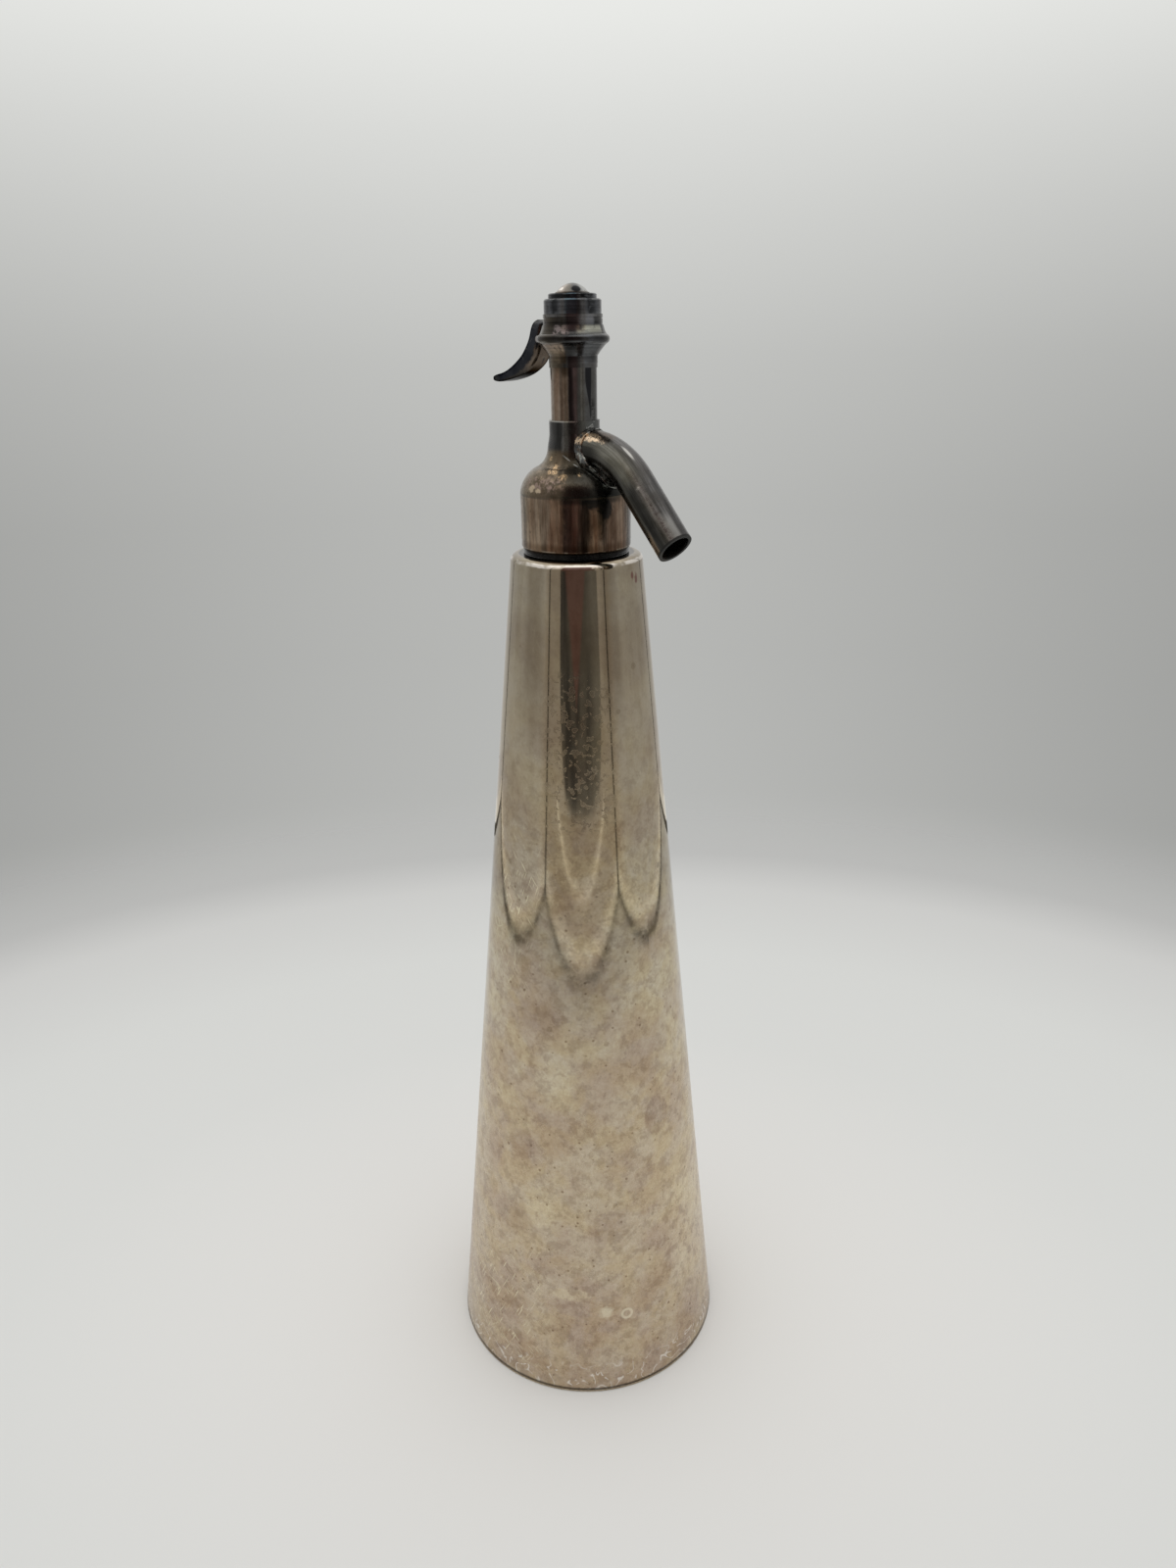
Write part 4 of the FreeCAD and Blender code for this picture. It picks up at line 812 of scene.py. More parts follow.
def spout_finish():
    """The tube's tarnish runs along it, from its root to its mouth."""
    w = Finish("spout_plate")
    mm = w.mm
    along, turn, drawn = w.use(TUBE, Place=mm)[:3]
    cloud, mottle = w.clouds(7.0, 71.0)
    wander = w.times(w.minus(w.grain(drawn, 1.6, 3.0), 0.5), 34.0)
    share = w.over(w.plus(w.plus(turn, wander), 180.0), 360.0)

    def tarnish(stops):
        return w.ramp(share, by_turn([(at, (grey, grey * 0.97, grey * warm)) for at, grey, warm in stops]))

    # the colours round the tube are tarnish together with painted reflections of the tent
    bend = tarnish((
        (-180, 0.1, 0.95), (-135, 0.17, 0.95), (-118, 0.12, 0.92), (-105, 0.075, 0.88), (-93, 0.1, 0.85),
        (-76, 0.21, 0.82), (-50, 0.175, 0.86), (-30, 0.09, 0.9), (-15, 0.14, 0.97), (3, 0.125, 0.97),
        (20, 0.2, 0.97), (60, 0.3, 0.97), (120, 0.1, 0.9), (180, 0.1, 0.95),
    ))
    run = tarnish((
        (-180, 0.08, 0.8), (-130, 0.22, 0.75), (-116, 0.2, 0.8), (-102, 0.08, 0.85), (-84, 0.035, 0.9),
        (-66, 0.07, 0.9), (-45, 0.21, 0.95), (-31, 0.065, 0.95), (-14, 0.12, 0.96), (2, 0.065, 0.96),
        (14, 0.11, 0.97), (40, 0.24, 0.97), (120, 0.08, 0.9), (180, 0.08, 0.8),
    ))
    w.colour = w.lay(bend, run, w.ease(along, 28.0, 36.0))
    fine = w.ease(w.grain(w.vector("ADD", drawn, (4.0, 7.0, 2.0)), 0.7, 3.0), 0.38, 0.62)
    w.stain((0.55, 0.54, 0.52), fine, 0.7)
    w.stain((0.7, 0.68, 0.64), cloud, 0.7)

    shadow = w.both(w.ease(along, 20.0, 13.0), w.ease(w.plus(turn, wander), -58.0, -74.0))
    w.coat((0.03, 0.029, 0.026), shadow, 0.9)
    warm = w.both(w.ease(along, 19.0, 15.5), w.ease(turn, -58.0, -40.0))
    w.coat((0.10, 0.078, 0.06), warm, 0.85)
    unrolled = w.point(along, w.times(turn, DEGREE_ON_SPOUT), 0.0)
    # painted highlight: a bright golden patch on top of the spout's root, where it mirrors the tent's bright
    # top
    gold_highlight = w.patch((10.6, -4.5, 0.0), 5.0, ragged=0.5, soft=0.22, squeeze=(1.0, 3.0, 1.0), place=unrolled)
    gold_highlight = w.both(gold_highlight, w.ease(w.grain(mm, 0.9, 3.0, 0.6), 0.33, 0.5))
    w.coat((0.78, 0.60, 0.42), gold_highlight, 0.95)
    # painted highlights: a long pale streak along the bend and two small pale spots further out, where the
    # tube mirrors the tent's bright walls
    pale = w.patch((24.2, -1.75, 0.0), 2.5, ragged=0.1, soft=0.45, squeeze=(1.0, 5.0, 1.0), place=unrolled)
    streaks = w.either(
        w.both(pale, 0.75),
        w.both(w.patch((33.6, -4.4, 352.6), 0.7, ragged=0.5, soft=0.5), 0.45),
        w.both(w.patch((32.2, -2.4, 355.6), 0.55, ragged=0.5, soft=0.5), 0.3),
    )
    w.coat((0.50, 0.49, 0.46), streaks)
    brown = w.both(w.ease(along, 47.0, 51.0), w.ease(w.plus(turn, wander), -92.0, -106.0))
    w.coat((0.32, 0.24, 0.17), brown, 0.7)
    worn = w.both(w.ease(along, 45.0, 50.0), w.ease(turn, -58.0, -44.0), w.ease(turn, -6.0, -18.0))
    w.coat((0.22, 0.215, 0.205), worn, 0.6)
    rim = w.ease(w.plus(along, w.times(w.along(drawn)[2], MOUTH_SLOPE)), 55.45, 55.85)
    w.coat((0.03, 0.03, 0.029), rim, 0.92)
    relief = w.plus(wavy(w, mottle, 3.2), w.times(fine, 0.06))
    return w.shade(w.between(w.between(0.17, 0.30, mottle), 0.55, rim), relief, depth=0.04)


def barrel_finish():
    """Warm on the left and grey on the right, with a black wedge in front that widens upwards."""
    # the colours round the axis are tarnish with painted reflections: the warm left mirrors the tent's wall
    # in brown tarnish, and near-black at -53 and -47 degrees is its dark front slot
    w, mottle = head_metal("barrel_plate", (
        (-180, (0.16, 0.13, 0.10)), (-125, (0.32, 0.275, 0.225)), (-110, (0.31, 0.255, 0.205)),
        (-97, (0.27, 0.215, 0.17)), (-83, (0.30, 0.235, 0.185)), (-76, (0.13, 0.10, 0.078)),
        (-69, (0.22, 0.175, 0.14)), (-61, (0.20, 0.165, 0.135)), (-57, (0.20, 0.17, 0.15)),
        (-53, (0.05, 0.052, 0.055)), (-47, (0.065, 0.07, 0.075)), (-41, (0.26, 0.275, 0.28)),
        (-26, (0.175, 0.18, 0.175)), (-16, (0.11, 0.11, 0.107)), (-6, (0.10, 0.10, 0.1)),
        (9, (0.095, 0.095, 0.093)), (26, (0.075, 0.075, 0.073)), (60, (0.15, 0.148, 0.14)),
        (180, (0.16, 0.13, 0.10)),
    ), 90.0, 3.0)
    mm = w.mm
    streak = w.use(STREAKS, Place=mm, Width=1.0, Stretch=0.05)
    left = w.side(-100.0, 42.0, 5.0)
    w.stain((0.72, 0.6, 0.5), left, streak, 0.7)
    level = w.along(mm)[2]
    wedge = w.side(
        w.between(1.0, -4.0, w.ease(level, HEAD_TOP + 1.6, HEAD_TOP + 12.6)),
        w.between(1.7, 9.5, w.ease(level, HEAD_TOP + 2.1, HEAD_TOP + 13.6)),
        1.2,
    )
    w.coat((0.018, 0.018, 0.02), wedge, w.ease(level, HEAD_TOP - 0.1, HEAD_TOP + 1.6), 0.95)
    rag = w.both(
        w.side(12.0, 9.0, 3.0), w.band(HEAD_TOP - 0.4, HEAD_TOP + 6.1, 1.5),
        w.ease(w.grain(mm, 1.3, 3.0, 0.6), 0.42, 0.52),
    )
    w.coat(NEAR_BLACK, rag, 0.85)
    crown = w.both(w.ease(level, HEAD_TOP + 13.8, HEAD_TOP + 15.6), left, 0.8)
    w.stain((0.6, 0.6, 0.56), crown)
    w.stain((0.42, 0.40, 0.38), w.side(-63.0, 11.0, 5.0), w.ease(level, HEAD_TOP + 12.6, HEAD_TOP + 14.4))
    return w.shade(w.between(0.10, 0.19, mottle), wavy(w, mottle, 5.0), depth=0.02)


def housing_finish():
    """Dark and ringed by the lathe, bronze on the left of its flare, with paler patches higher up."""
    # the colours round the axis are tarnish together with painted reflections of the tent's pale walls and
    # dark front slot
    w, mottle = head_metal("housing_plate", (
        (-180, (0.10, 0.09, 0.075)), (-125, (0.14, 0.125, 0.105)), (-108, (0.12, 0.105, 0.085)),
        (-90, (0.085, 0.075, 0.06)), (-76, (0.055, 0.05, 0.045)), (-62, (0.075, 0.072, 0.068)),
        (-52, (0.065, 0.067, 0.07)), (-40, (0.12, 0.125, 0.13)), (-26, (0.15, 0.155, 0.165)),
        (-6, (0.11, 0.113, 0.117)), (12, (0.085, 0.087, 0.09)), (34, (0.13, 0.13, 0.128)),
        (120, (0.10, 0.095, 0.08)), (180, (0.10, 0.09, 0.075)),
    ), 130.0)
    mm = w.mm
    height = w.along(mm)[2]
    line = w.use(TURNED, Place=mm, Pitch=0.75)
    fine = w.use(TURNED, Place=w.moved(0.0, 0.0, 4.3), Pitch=0.34)
    flare = w.both(w.ease(height, HOUSING_FOOT + 6.3, HOUSING_FOOT + 5.7), w.side(-101.0, 40.0, 3.0))
    bronze = w.ramp(w.over(w.minus(w.plus(height, w.times(mottle, 0.8)), HOUSING_FOOT), FLARE_HEIGHT), (
        (0.0, (0.075, 0.06, 0.042)), (0.2, (0.13, 0.10, 0.068)), (0.45, (0.18, 0.138, 0.096)),
        (0.65, (0.30, 0.23, 0.165)), (0.85, (0.34, 0.26, 0.20)), (1.0, (0.25, 0.205, 0.165)),
    ))
    broken = w.ease(w.grain(w.vector("MULTIPLY", mm, (1.0, 1.0, 0.4)), 1.6, 3.0), 0.3, 0.5)
    w.coat(bronze, flare, broken, 0.95)
    w.stain((0.5, 0.48, 0.47), w.side(-67.0, 8.0, 4.0), w.band(HOUSING_FOOT - 0.2, HOUSING_FOOT + 3.5, 0.5))
    above = w.band(HOUSING_FOOT + 8.4, HOUSING_FOOT + 11.2, 0.35)
    pink = w.both(above, w.side(-65.0, 14.0, 4.0), w.ease(w.grain(mm, 1.3, 4.0, 0.65), 0.4, 0.52))
    w.coat((0.27, 0.225, 0.22), pink, 0.85)
    pale = w.both(w.band(HOUSING_FOOT + 8.4, HOUSING_FOOT + 11.1, 0.4), w.side(-9.0, 27.0, 4.0))
    cut = w.both(
        w.ease(height, HOUSING_FOOT + 8.6, HOUSING_FOOT + 9.8),
        w.ease(w.grain(w.moved(3.0, 8.0, 1.0), 2.4, 2.0), 0.28, 0.5),
    )
    w.coat(
        (0.2, 0.19, 0.19),
        above,
        w.side(-44.0, 9.0, 3.0),
        w.ease(height, HOUSING_FOOT + 9.4, HOUSING_FOOT + 10.4),
        0.8,
    )
    w.coat((0.16, 0.16, 0.15), pale, 0.8)
    w.coat((0.47, 0.47, 0.40), pale, cut, 0.9)
    silver = w.both(above, w.side(-118.0, 10.0, 5.0))
    w.coat((0.21, 0.20, 0.175), silver, 0.9)
    crest = w.both(w.band(HOUSING_FOOT + 5.9, HOUSING_FOOT + 6.5, 0.2), w.side(-112.0, 20.0, 8.0))
    w.coat((0.28, 0.26, 0.23), crest, 0.85)
    groove = w.either(
        w.band(HOUSING_FOOT + 6.9, HOUSING_FOOT + 7.7, 0.25),
        w.band(HOUSING_TOP - 2.7, HOUSING_TOP - 2.3, 0.12),
    )
    w.stain((0.45, 0.45, 0.46), groove, 0.8)
    slate = w.both(w.ease(height, HOUSING_TOP - 3.3, HOUSING_TOP - 3.0), w.side(-16.0, 17.0, 4.0))
    w.coat((0.26, 0.265, 0.28), slate, 0.8)
    top = w.both(w.band(HOUSING_TOP - 0.9, HOUSING_TOP + 0.2, 0.15), w.ease(w.grain(mm, 2.4, 2.0), 0.3, 0.6))
    w.coat((0.22, 0.22, 0.22), top, 0.6)
    w.stain((0.42, 0.42, 0.43), line, 0.6)
    w.stain((0.5, 0.5, 0.5), fine, 0.45)
    relief = w.plus(wavy(w, mottle, 3.0), w.times(line, 0.25))
    return w.shade(w.between(0.15, 0.26, mottle), relief, depth=0.035)


def cap_finish(name, tones, shift):
    """Cap and disc: nearly black, with the lathe's rings worn pale here and there."""
    w, mottle = head_metal(name, [(turn, (tone, tone, tone * 1.04)) for turn, tone in tones], shift, 5.0)
    line = w.use(TURNED, Place=w.mm, Pitch=0.8)
    fine = w.use(TURNED, Place=w.moved(0.0, 0.0, 9.1), Pitch=0.42)
    w.stain((0.45, 0.45, 0.46), line, 0.65)
    worn = w.both(fine, w.ease(w.grain(w.mm, 3.0, 2.0), 0.5, 0.62))
    w.coat((0.2, 0.2, 0.2), worn, 0.3)
    edge = w.either(
        w.band(CAP_TOP - 0.65, CAP_TOP + 0.2, 0.12), w.band(DISC_TOP - 0.45, DISC_TOP - 0.2, 0.08)
    )
    w.coat((0.15, 0.15, 0.145), edge, w.ease(w.grain(w.mm, 2.0, 2.0), 0.42, 0.6), 0.5)
    w.stain((0.95, 1.0, 1.05), 1.0)
    w.stain((0.76, 1.0, 1.12), w.side(-46.0, 12.0, 4.0))
    relief = w.plus(wavy(w, mottle, 3.0), w.times(line, 0.3))
    return w.shade(w.between(0.14, 0.26, mottle), relief, depth=0.035)


def ring_finish():
    # the colours round the axis are tarnish together with painted reflections of the tent's pale walls and
    # dark front slot
    w, mottle = head_metal("lock_ring_plate", (
        (-180, (0.12, 0.10, 0.08)), (-125, (0.26, 0.225, 0.17)), (-100, (0.13, 0.11, 0.08)),
        (-80, (0.09, 0.075, 0.055)), (-62, (0.04, 0.04, 0.04)), (-38, (0.12, 0.125, 0.13)),
        (10, (0.11, 0.11, 0.11)), (40, (0.2, 0.2, 0.2)), (180, (0.12, 0.10, 0.08)),
    ), 20.0)
    line = w.use(TURNED, Place=w.mm, Pitch=0.5)
    w.stain((0.5, 0.48, 0.46), line, 0.6)
    return w.shade(w.between(0.15, 0.25, mottle), line, depth=0.01)


def lever_finish():
    """Black on its flanks, brown on the faces turned inwards and down, and paler on the faces turned outwards
    and up.
    """
    w = Finish("lever_plate")
    mm = w.mm
    height = w.along(mm)[2]
    normal = w.along(w.add("ShaderNodeTexCoord").outputs["Normal"])
    cloud, mottle = w.clouds(7.0, 61.0)
    w.colour = w.lay((0.038, 0.04, 0.046), (0.024, 0.025, 0.03), cloud)
    under = w.minus(w.times(normal[0], 0.75), w.times(normal[2], 0.66))
    brown = w.ease(w.plus(under, w.times(w.minus(mottle, 0.5), 0.2)), 0.3, 0.62)
    broken = w.ease(w.grain(w.vector("MULTIPLY", mm, (0.4, 1.0, 0.4)), 1.5, 3.0), 0.25, 0.5)
    w.coat((0.15, 0.118, 0.093), brown, broken, 0.9)
    outer = w.ease(under, -0.55, -0.9)
    w.coat((0.13, 0.13, 0.128), outer, 0.8)
    tip = w.patch((-37.5, 0.0, 383.0), 3.6, ragged=0.3, soft=0.5)
    w.coat((0.1, 0.1, 0.098), tip, 0.7)
    low = w.both(w.ease(height, HOUSING_FOOT - 0.3, HOUSING_FOOT - 3.8), w.ease(under, 0.2, 0.5))
    w.coat((0.035, 0.034, 0.033), low, 0.9)
    crown = w.patch((-14.6, 0.0, 401.5), 3.0, ragged=0.3, soft=0.4)
    w.coat((0.16, 0.16, 0.155), crown, 0.7)
    nicks = w.use(SCRATCHES, Place=mm, Length=7.0, Width=0.01, Share=0.35)
    w.coat((0.3, 0.29, 0.27), nicks, 0.25)
    return w.shade(
        w.between(0.13, 0.24, mottle), wavy(w, mottle, 4.0), depth=0.03, Specular_Tint=(0.3, 0.3, 0.3, 1.0)
    )


def button_finish():
    """The one bright piece: silver on its flanks, with a painted dark reflection in front and a painted
    highlight on its left.
    """
    w = Finish("bright_plate")
    mottle = w.clouds(4.0, 5.0)[1]
    # painted light round the axis: the bright stops near -98 degrees are a highlight, and the dark ones from
    # -42 to -20 degrees mirror the tent's dark front slot
    w.colour = w.ramp(w.use(ROUND, Place=w.mm, Sway=4.0), by_turn((
        (-180, (0.3, 0.28, 0.26)), (-118, (0.42, 0.39, 0.36)), (-98, (0.52, 0.475, 0.43)),
        (-84, (0.36, 0.32, 0.28)), (-70, (0.2, 0.18, 0.155)), (-54, (0.15, 0.138, 0.12)),
        (-42, (0.11, 0.105, 0.098)), (-20, (0.10, 0.10, 0.098)), (-8, (0.15, 0.15, 0.145)),
        (6, (0.32, 0.32, 0.31)), (40, (0.5, 0.5, 0.48)), (180, (0.3, 0.28, 0.26)),
    )))
    # painted reflection: a near-black spot where the button mirrors the tent's dark front slot
    stain = w.patch((3.85, -1.95, 410.55), 1.45, ragged=0.12, soft=0.2, squeeze=(1.0, 1.0, 1.15))
    w.coat((0.008, 0.008, 0.009), stain, 0.95)
    # painted highlight: a small warm glint on the button's left
    painted_glint = w.patch((-0.7, -4.3, 410.5), 0.75, ragged=0.3, soft=0.3, squeeze=(0.7, 1.0, 1.3))
    w.coat((0.9, 0.84, 0.78), painted_glint, 0.9)
    reach = w.from_axis()
    w.coat((0.10, 0.094, 0.087), w.ease(reach, 3.0, 1.2), 0.85)
    w.stain((0.5, 0.47, 0.44), w.band(DISC_TOP - 0.2, DISC_TOP + 0.55, 0.12), 0.8)
    return w.shade(w.between(0.09, 0.17, mottle), wavy(w, mottle, 2.5), depth=0.02)


def solder_finish():
    """Grey solder with a painted sheen, painted paler underneath as if lit there, smeared brown, and with a
    painted golden highlight on the left of the spout's root.
    """
    w = Finish("solder")
    turn = w.use(TUBE, Place=w.mm)[1]
    lump = w.grain(w.mm, 3.0, 2.0, 0.5, 0.4)
    sheen = w.ease(w.grain(w.moved(3.0, 1.0, 2.0), 1.9, 3.0, 0.55), 0.46, 0.6)
    # painted light: on the near side's underside both tones are made paler, as if lit, though little light
    # reaches there
    lit_underside = w.both(w.ease(turn, -78.0, -100.0), w.ease(w.along(w.mm)[1], 1.0, -1.5))
    hollows = w.lay((0.045, 0.046, 0.046), (0.10, 0.102, 0.10), lit_underside)
    lumps = w.lay((0.24, 0.24, 0.23), (0.36, 0.37, 0.345), lit_underside)
    # painted sheen: the pale tone is laid where the sheen noise is, over the dark solder
    w.colour = w.lay(hollows, lumps, sheen)
    brown = w.both(w.ease(turn, -75.0, -95.0), w.ease(w.grain(w.mm, 1.4, 3.0), 0.5, 0.6))
    w.coat((0.1, 0.07, 0.05), brown, 0.7)
    # painted highlight: the golden highlight of the spout's root carried over onto the solder
    gold_highlight = w.both(
        w.ease(turn, -80.0, -66.0), w.ease(turn, -30.0, -42.0), w.ease(w.grain(w.mm, 1.0, 3.0, 0.6), 0.4, 0.5)
    )
    w.coat((0.62, 0.46, 0.31), gold_highlight, 0.9)
    return w.shade(w.between(0.16, 0.34, sheen), lump, depth=0.15)


def base_finish():
    w = Finish("base_plate_metal")
    cloud, mottle = w.clouds(14.0, 23.0)
    streak = w.use(SPECKLE, Place=w.mm, Size=0.8)
    w.colour = w.lay((0.46, 0.38, 0.27), (0.3, 0.23, 0.16), cloud)
    w.coat((0.15, 0.12, 0.09), streak, 0.35)
    return w.shade(w.between(0.28, 0.45, mottle), streak, depth=0.01)


def brass_finish():
    w = Finish("bare_brass")
    cloud, mottle = w.clouds(5.0, 33.0)
    ring = w.use(TURNED, Place=w.mm, Pitch=0.35)
    w.colour = w.lay((0.72, 0.52, 0.24), (0.42, 0.27, 0.12), cloud)
    w.coat((0.22, 0.15, 0.08), mottle, 0.3)
    return w.shade(w.between(0.22, 0.38, mottle), ring, depth=0.015)


def steel_finish():
    w = Finish("spring_steel")
    cloud, mottle = w.clouds(3.0, 7.0)
    w.colour = w.lay((0.5, 0.49, 0.47), (0.22, 0.19, 0.17), cloud, 0.7)
    return w.shade(w.between(0.2, 0.34, mottle), mottle, depth=0.005)


def glass_finish(name, colour):
    w = Finish(name)
    w.colour = colour
    waves = w.grain(w.mm, 18.0, 2.0)
    return w.shade(0.02, waves, depth=0.06, metallic=0.0, IOR=1.51, Transmission_Weight=1.0)


def rubber_finish(name, colour, dull, gloss, ribbed):
    w = Finish(name)
    dust, fine = w.clouds(3.5, 13.0)
    grit = w.use(SPECKLE, Place=w.mm, Size=1.6 if ribbed else 0.4)
    w.colour = w.lay(colour, dull, dust, 0.6)
    return w.shade(w.between(gloss, gloss + 0.16, fine), grit, depth=0.012 if ribbed else 0.01, metallic=0.0)


def fibre_finish():
    w = Finish("red_fibre")
    grit = w.use(SPECKLE, Place=w.mm, Size=0.3)
    w.colour = w.lay((0.3, 0.05, 0.03), (0.16, 0.03, 0.02), grit)
    return w.shade(w.between(0.55, 0.75, grit), grit, depth=0.02, metallic=0.0)


# how grey the cap and its disc are at each turn round the axis, in degrees: tarnish together with painted
# reflections of the tent's pale walls and dark front slot
CAP_GREYS = (
    (-180, 0.09), (-118, 0.10), (-104, 0.075), (-94, 0.11), (-84, 0.03), (-74, 0.045), (-65, 0.15),
    (-56, 0.12), (-46, 0.14), (-30, 0.08), (-20, 0.14), (-9, 0.035), (4, 0.045), (12, 0.10), (26, 0.11),
    (60, 0.2), (180, 0.09),
)
DISC_GREYS = (
    (-180, 0.06), (-118, 0.05), (-100, 0.05), (-80, 0.03), (-56, 0.03), (-46, 0.08), (-34, 0.05),
    (-16, 0.016), (0, 0.022), (12, 0.03), (22, 0.2), (60, 0.2), (180, 0.06),
)

brass = brass_finish()
soft_rubber = rubber_finish("soft_rubber", (0.03, 0.028, 0.026), (0.08, 0.075, 0.07), 0.5, False)
steel = steel_finish()

FINISH = {
    "outer_sleeve": sleeve_finish(),
    "base_plate": base_finish(),
    "bottle_pad": soft_rubber,
    "glass_bottle": glass_finish("bottle_glass", (0.93, 0.97, 0.94)),
    "sleeve_bush": soft_rubber,
    "sleeve_washer": rubber_finish("black_rubber", (0.006, 0.006, 0.006), (0.018, 0.017, 0.015), 0.06, True),
    "neck_collar": collar_finish(),
    "split_ring_right": brass,
    "split_ring_left": brass,
    "neck_gasket": soft_rubber,
    "tube_ferrule": brass,
    "tube_seal": soft_rubber,
    "dip_tube": glass_finish("tube_glass", (0.95, 0.97, 0.97)),
    "head_body": head_finish(),
    "spout": spout_finish(),
    "valve_seat": brass,
    "barrel": barrel_finish(),
    "plunger_packing": soft_rubber,
    "packing_gland": brass,
    "lock_ring": ring_finish(),
    "lever_housing": housing_finish(),
    "lever_pin": steel,
    "lever": lever_finish(),
    "valve_plunger": brass,
    "valve_washer": soft_rubber,
    "return_spring": steel,
    "cap_seal": fibre_finish(),
    "cap": cap_finish("cap_plate", CAP_GREYS, 17.0),
    "cap_disc": cap_finish("disc_plate", DISC_GREYS, 29.0),
    "cap_button": button_finish(),
}
for node, finish in FINISH.items():
    nodes[node].data.materials.clear()
    nodes[node].data.materials.append(finish)


# --- pieces made here ---------------------------------------------------------


def new_piece(name, shell, material):
    """An object at the origin with a finished shell as its mesh."""
    mesh = bpy.data.meshes.new(name)
    shell.to_mesh(mesh)
    shell.free()
    mesh.materials.append(material)
    piece = bpy.data.objects.new(name, mesh)
    bpy.context.scene.collection.objects.link(piece)
    return piece


# The bead, in millimetres: it heaps over the collar below HEAP_TURN, where its tip is rounded off.
HEAP_TURN = COLLAR_TOP + 4.0
HEAP_DEPTH = 3.1
WELD = 0.01
LONGEST_EDGE = 0.7
HEAP_LIFT = 0.55  # share of the depth that is taken off
HEAP_DRAW = 0.5  # how far the tip is drawn back to the head
LUMP_HEIGHT = 0.32
LUMP_DIP = 0.1
BROAD_LUMPS = 300.0  # lumps in a metre
FINE_LUMPS = 650.0
FINE_SHARE = 0.35


def solder_bead():
    """The bead round the spout's root: the plain bead's shell, made finer and heaped unevenly."""
    shell = bmesh.new()
    shell.from_mesh(nodes["spout_solder"].data)
    bmesh.ops.remove_doubles(shell, verts=shell.verts, dist=WELD * MM)
    long_edges = [edge for edge in shell.edges if edge.calc_length() > LONGEST_EDGE * MM]
    bmesh.ops.subdivide_edges(shell, edges=long_edges, cuts=2, use_grid_fill=True)
    bmesh.ops.triangulate(shell, faces=shell.faces)
    shell.normal_update()
    for vertex in shell.verts:
        drop = max(0.0, HEAP_TURN * MM - vertex.co.z)
        share = min(1.0, drop / (HEAP_DEPTH * MM))
        vertex.co.z += drop * HEAP_LIFT
        vertex.co.x -= HEAP_DRAW * MM * share
        lump = noise.noise(vertex.co * BROAD_LUMPS)
        lump += FINE_SHARE * noise.noise(vertex.co * FINE_LUMPS + Vector((3.0, 1.0, 2.0)))
        vertex.co += vertex.normal * MM * max(-LUMP_DIP, LUMP_HEIGHT * lump * (1.0 - share))
    bmesh.ops.recalc_face_normals(shell, faces=shell.faces)
    bead = new_piece("solder_bead", shell, solder_finish())
    bead.data.shade_smooth()
    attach(bead, "siphon")
    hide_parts("spout_solder")


# The spring, in millimetres. It is held under the cap.
WIRE_RADIUS = 0.35
WIRE_SIDES = 12
COIL_RADIUS = 3.3
COIL_TURNS = 4.5
STEPS_IN_A_TURN = 32


def coil_spring():
    """The return spring, wound of round wire over the plain spring's length, which it replaces."""
    low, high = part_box("return_spring")
    first = low[2] + WIRE_RADIUS * MM
    last = high[2] - WIRE_RADIUS * MM
    steps = round(COIL_TURNS * STEPS_IN_A_TURN)
    coil = bmesh.new()
    start = Matrix.Translation((COIL_RADIUS * MM, 0.0, first)) @ Matrix.Rotation(math.radians(90.0), 4, "X")
    bmesh.ops.create_circle(coil, cap_ends=True, segments=WIRE_SIDES, radius=WIRE_RADIUS * MM, matrix=start)
    bmesh.ops.spin(
        coil,
        geom=coil.verts[:] + coil.edges[:] + coil.faces[:],
        cent=(0.0, 0.0, 0.0),
        axis=(0.0, 0.0, 1.0),
        dvec=(0.0, 0.0, (last - first) / steps),
        angle=COIL_TURNS * math.tau,
        steps=steps,
        use_duplicate=False,
    )
    bmesh.ops.recalc_face_normals(coil, faces=coil.faces)
    spring = new_piece("coil_spring", coil, steel)
    spring.data.shade_smooth()
    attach(spring, "siphon")
    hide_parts("return_spring")
    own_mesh(spring)


solder_bead()
coil_spring()


# --- the studio ---------------------------------------------------------------

# In metres. The tent is a box of white cloth, whose front has a slot that a dark room shows through.
TENT_HALF = 0.5
TENT_TOP = 0.95
TENT_FOOT = 0.0005
SEAM_HALF = 0.016
SLOT_CENTRE = 0.03
SLOT_HALF = 0.285
SILL = 0.136
SILL_RISE = 0.1  # how far the slot's rounded lower corners rise
FOLD_CENTRE = -0.03
FOLD_TOP = 0.226
HEM_HEIGHT = 0.077
HEM_SAG = 0.6
HEM_HALF = 0.0045
HEM_REACH = 0.3
FLOOR_REACH = 1.5
BLACK = (0.0, 0.0, 0.0)


def studio_mesh(name, shell, material):
    """A piece of the studio, which is no part of the siphon."""
    thing = new_piece(name, shell, material)
    return thing


def wall_glow(w, height):
    """How bright the tent's cloth is at a height: dim near the floor's level and bright towards the lamps."""
    greys = (
        (0.0, 0.66), (0.12, 0.58), (0.28, 0.6), (0.42, 0.64), (0.5, 0.68), (0.7, 0.8), (0.88, 1.0),
        (1.0, 1.25),
    )
    stops = [(at, (grey, grey * 0.995, grey * 0.975)) for at, grey in greys]
    return w.ramp(w.over(height, TENT_TOP), stops)


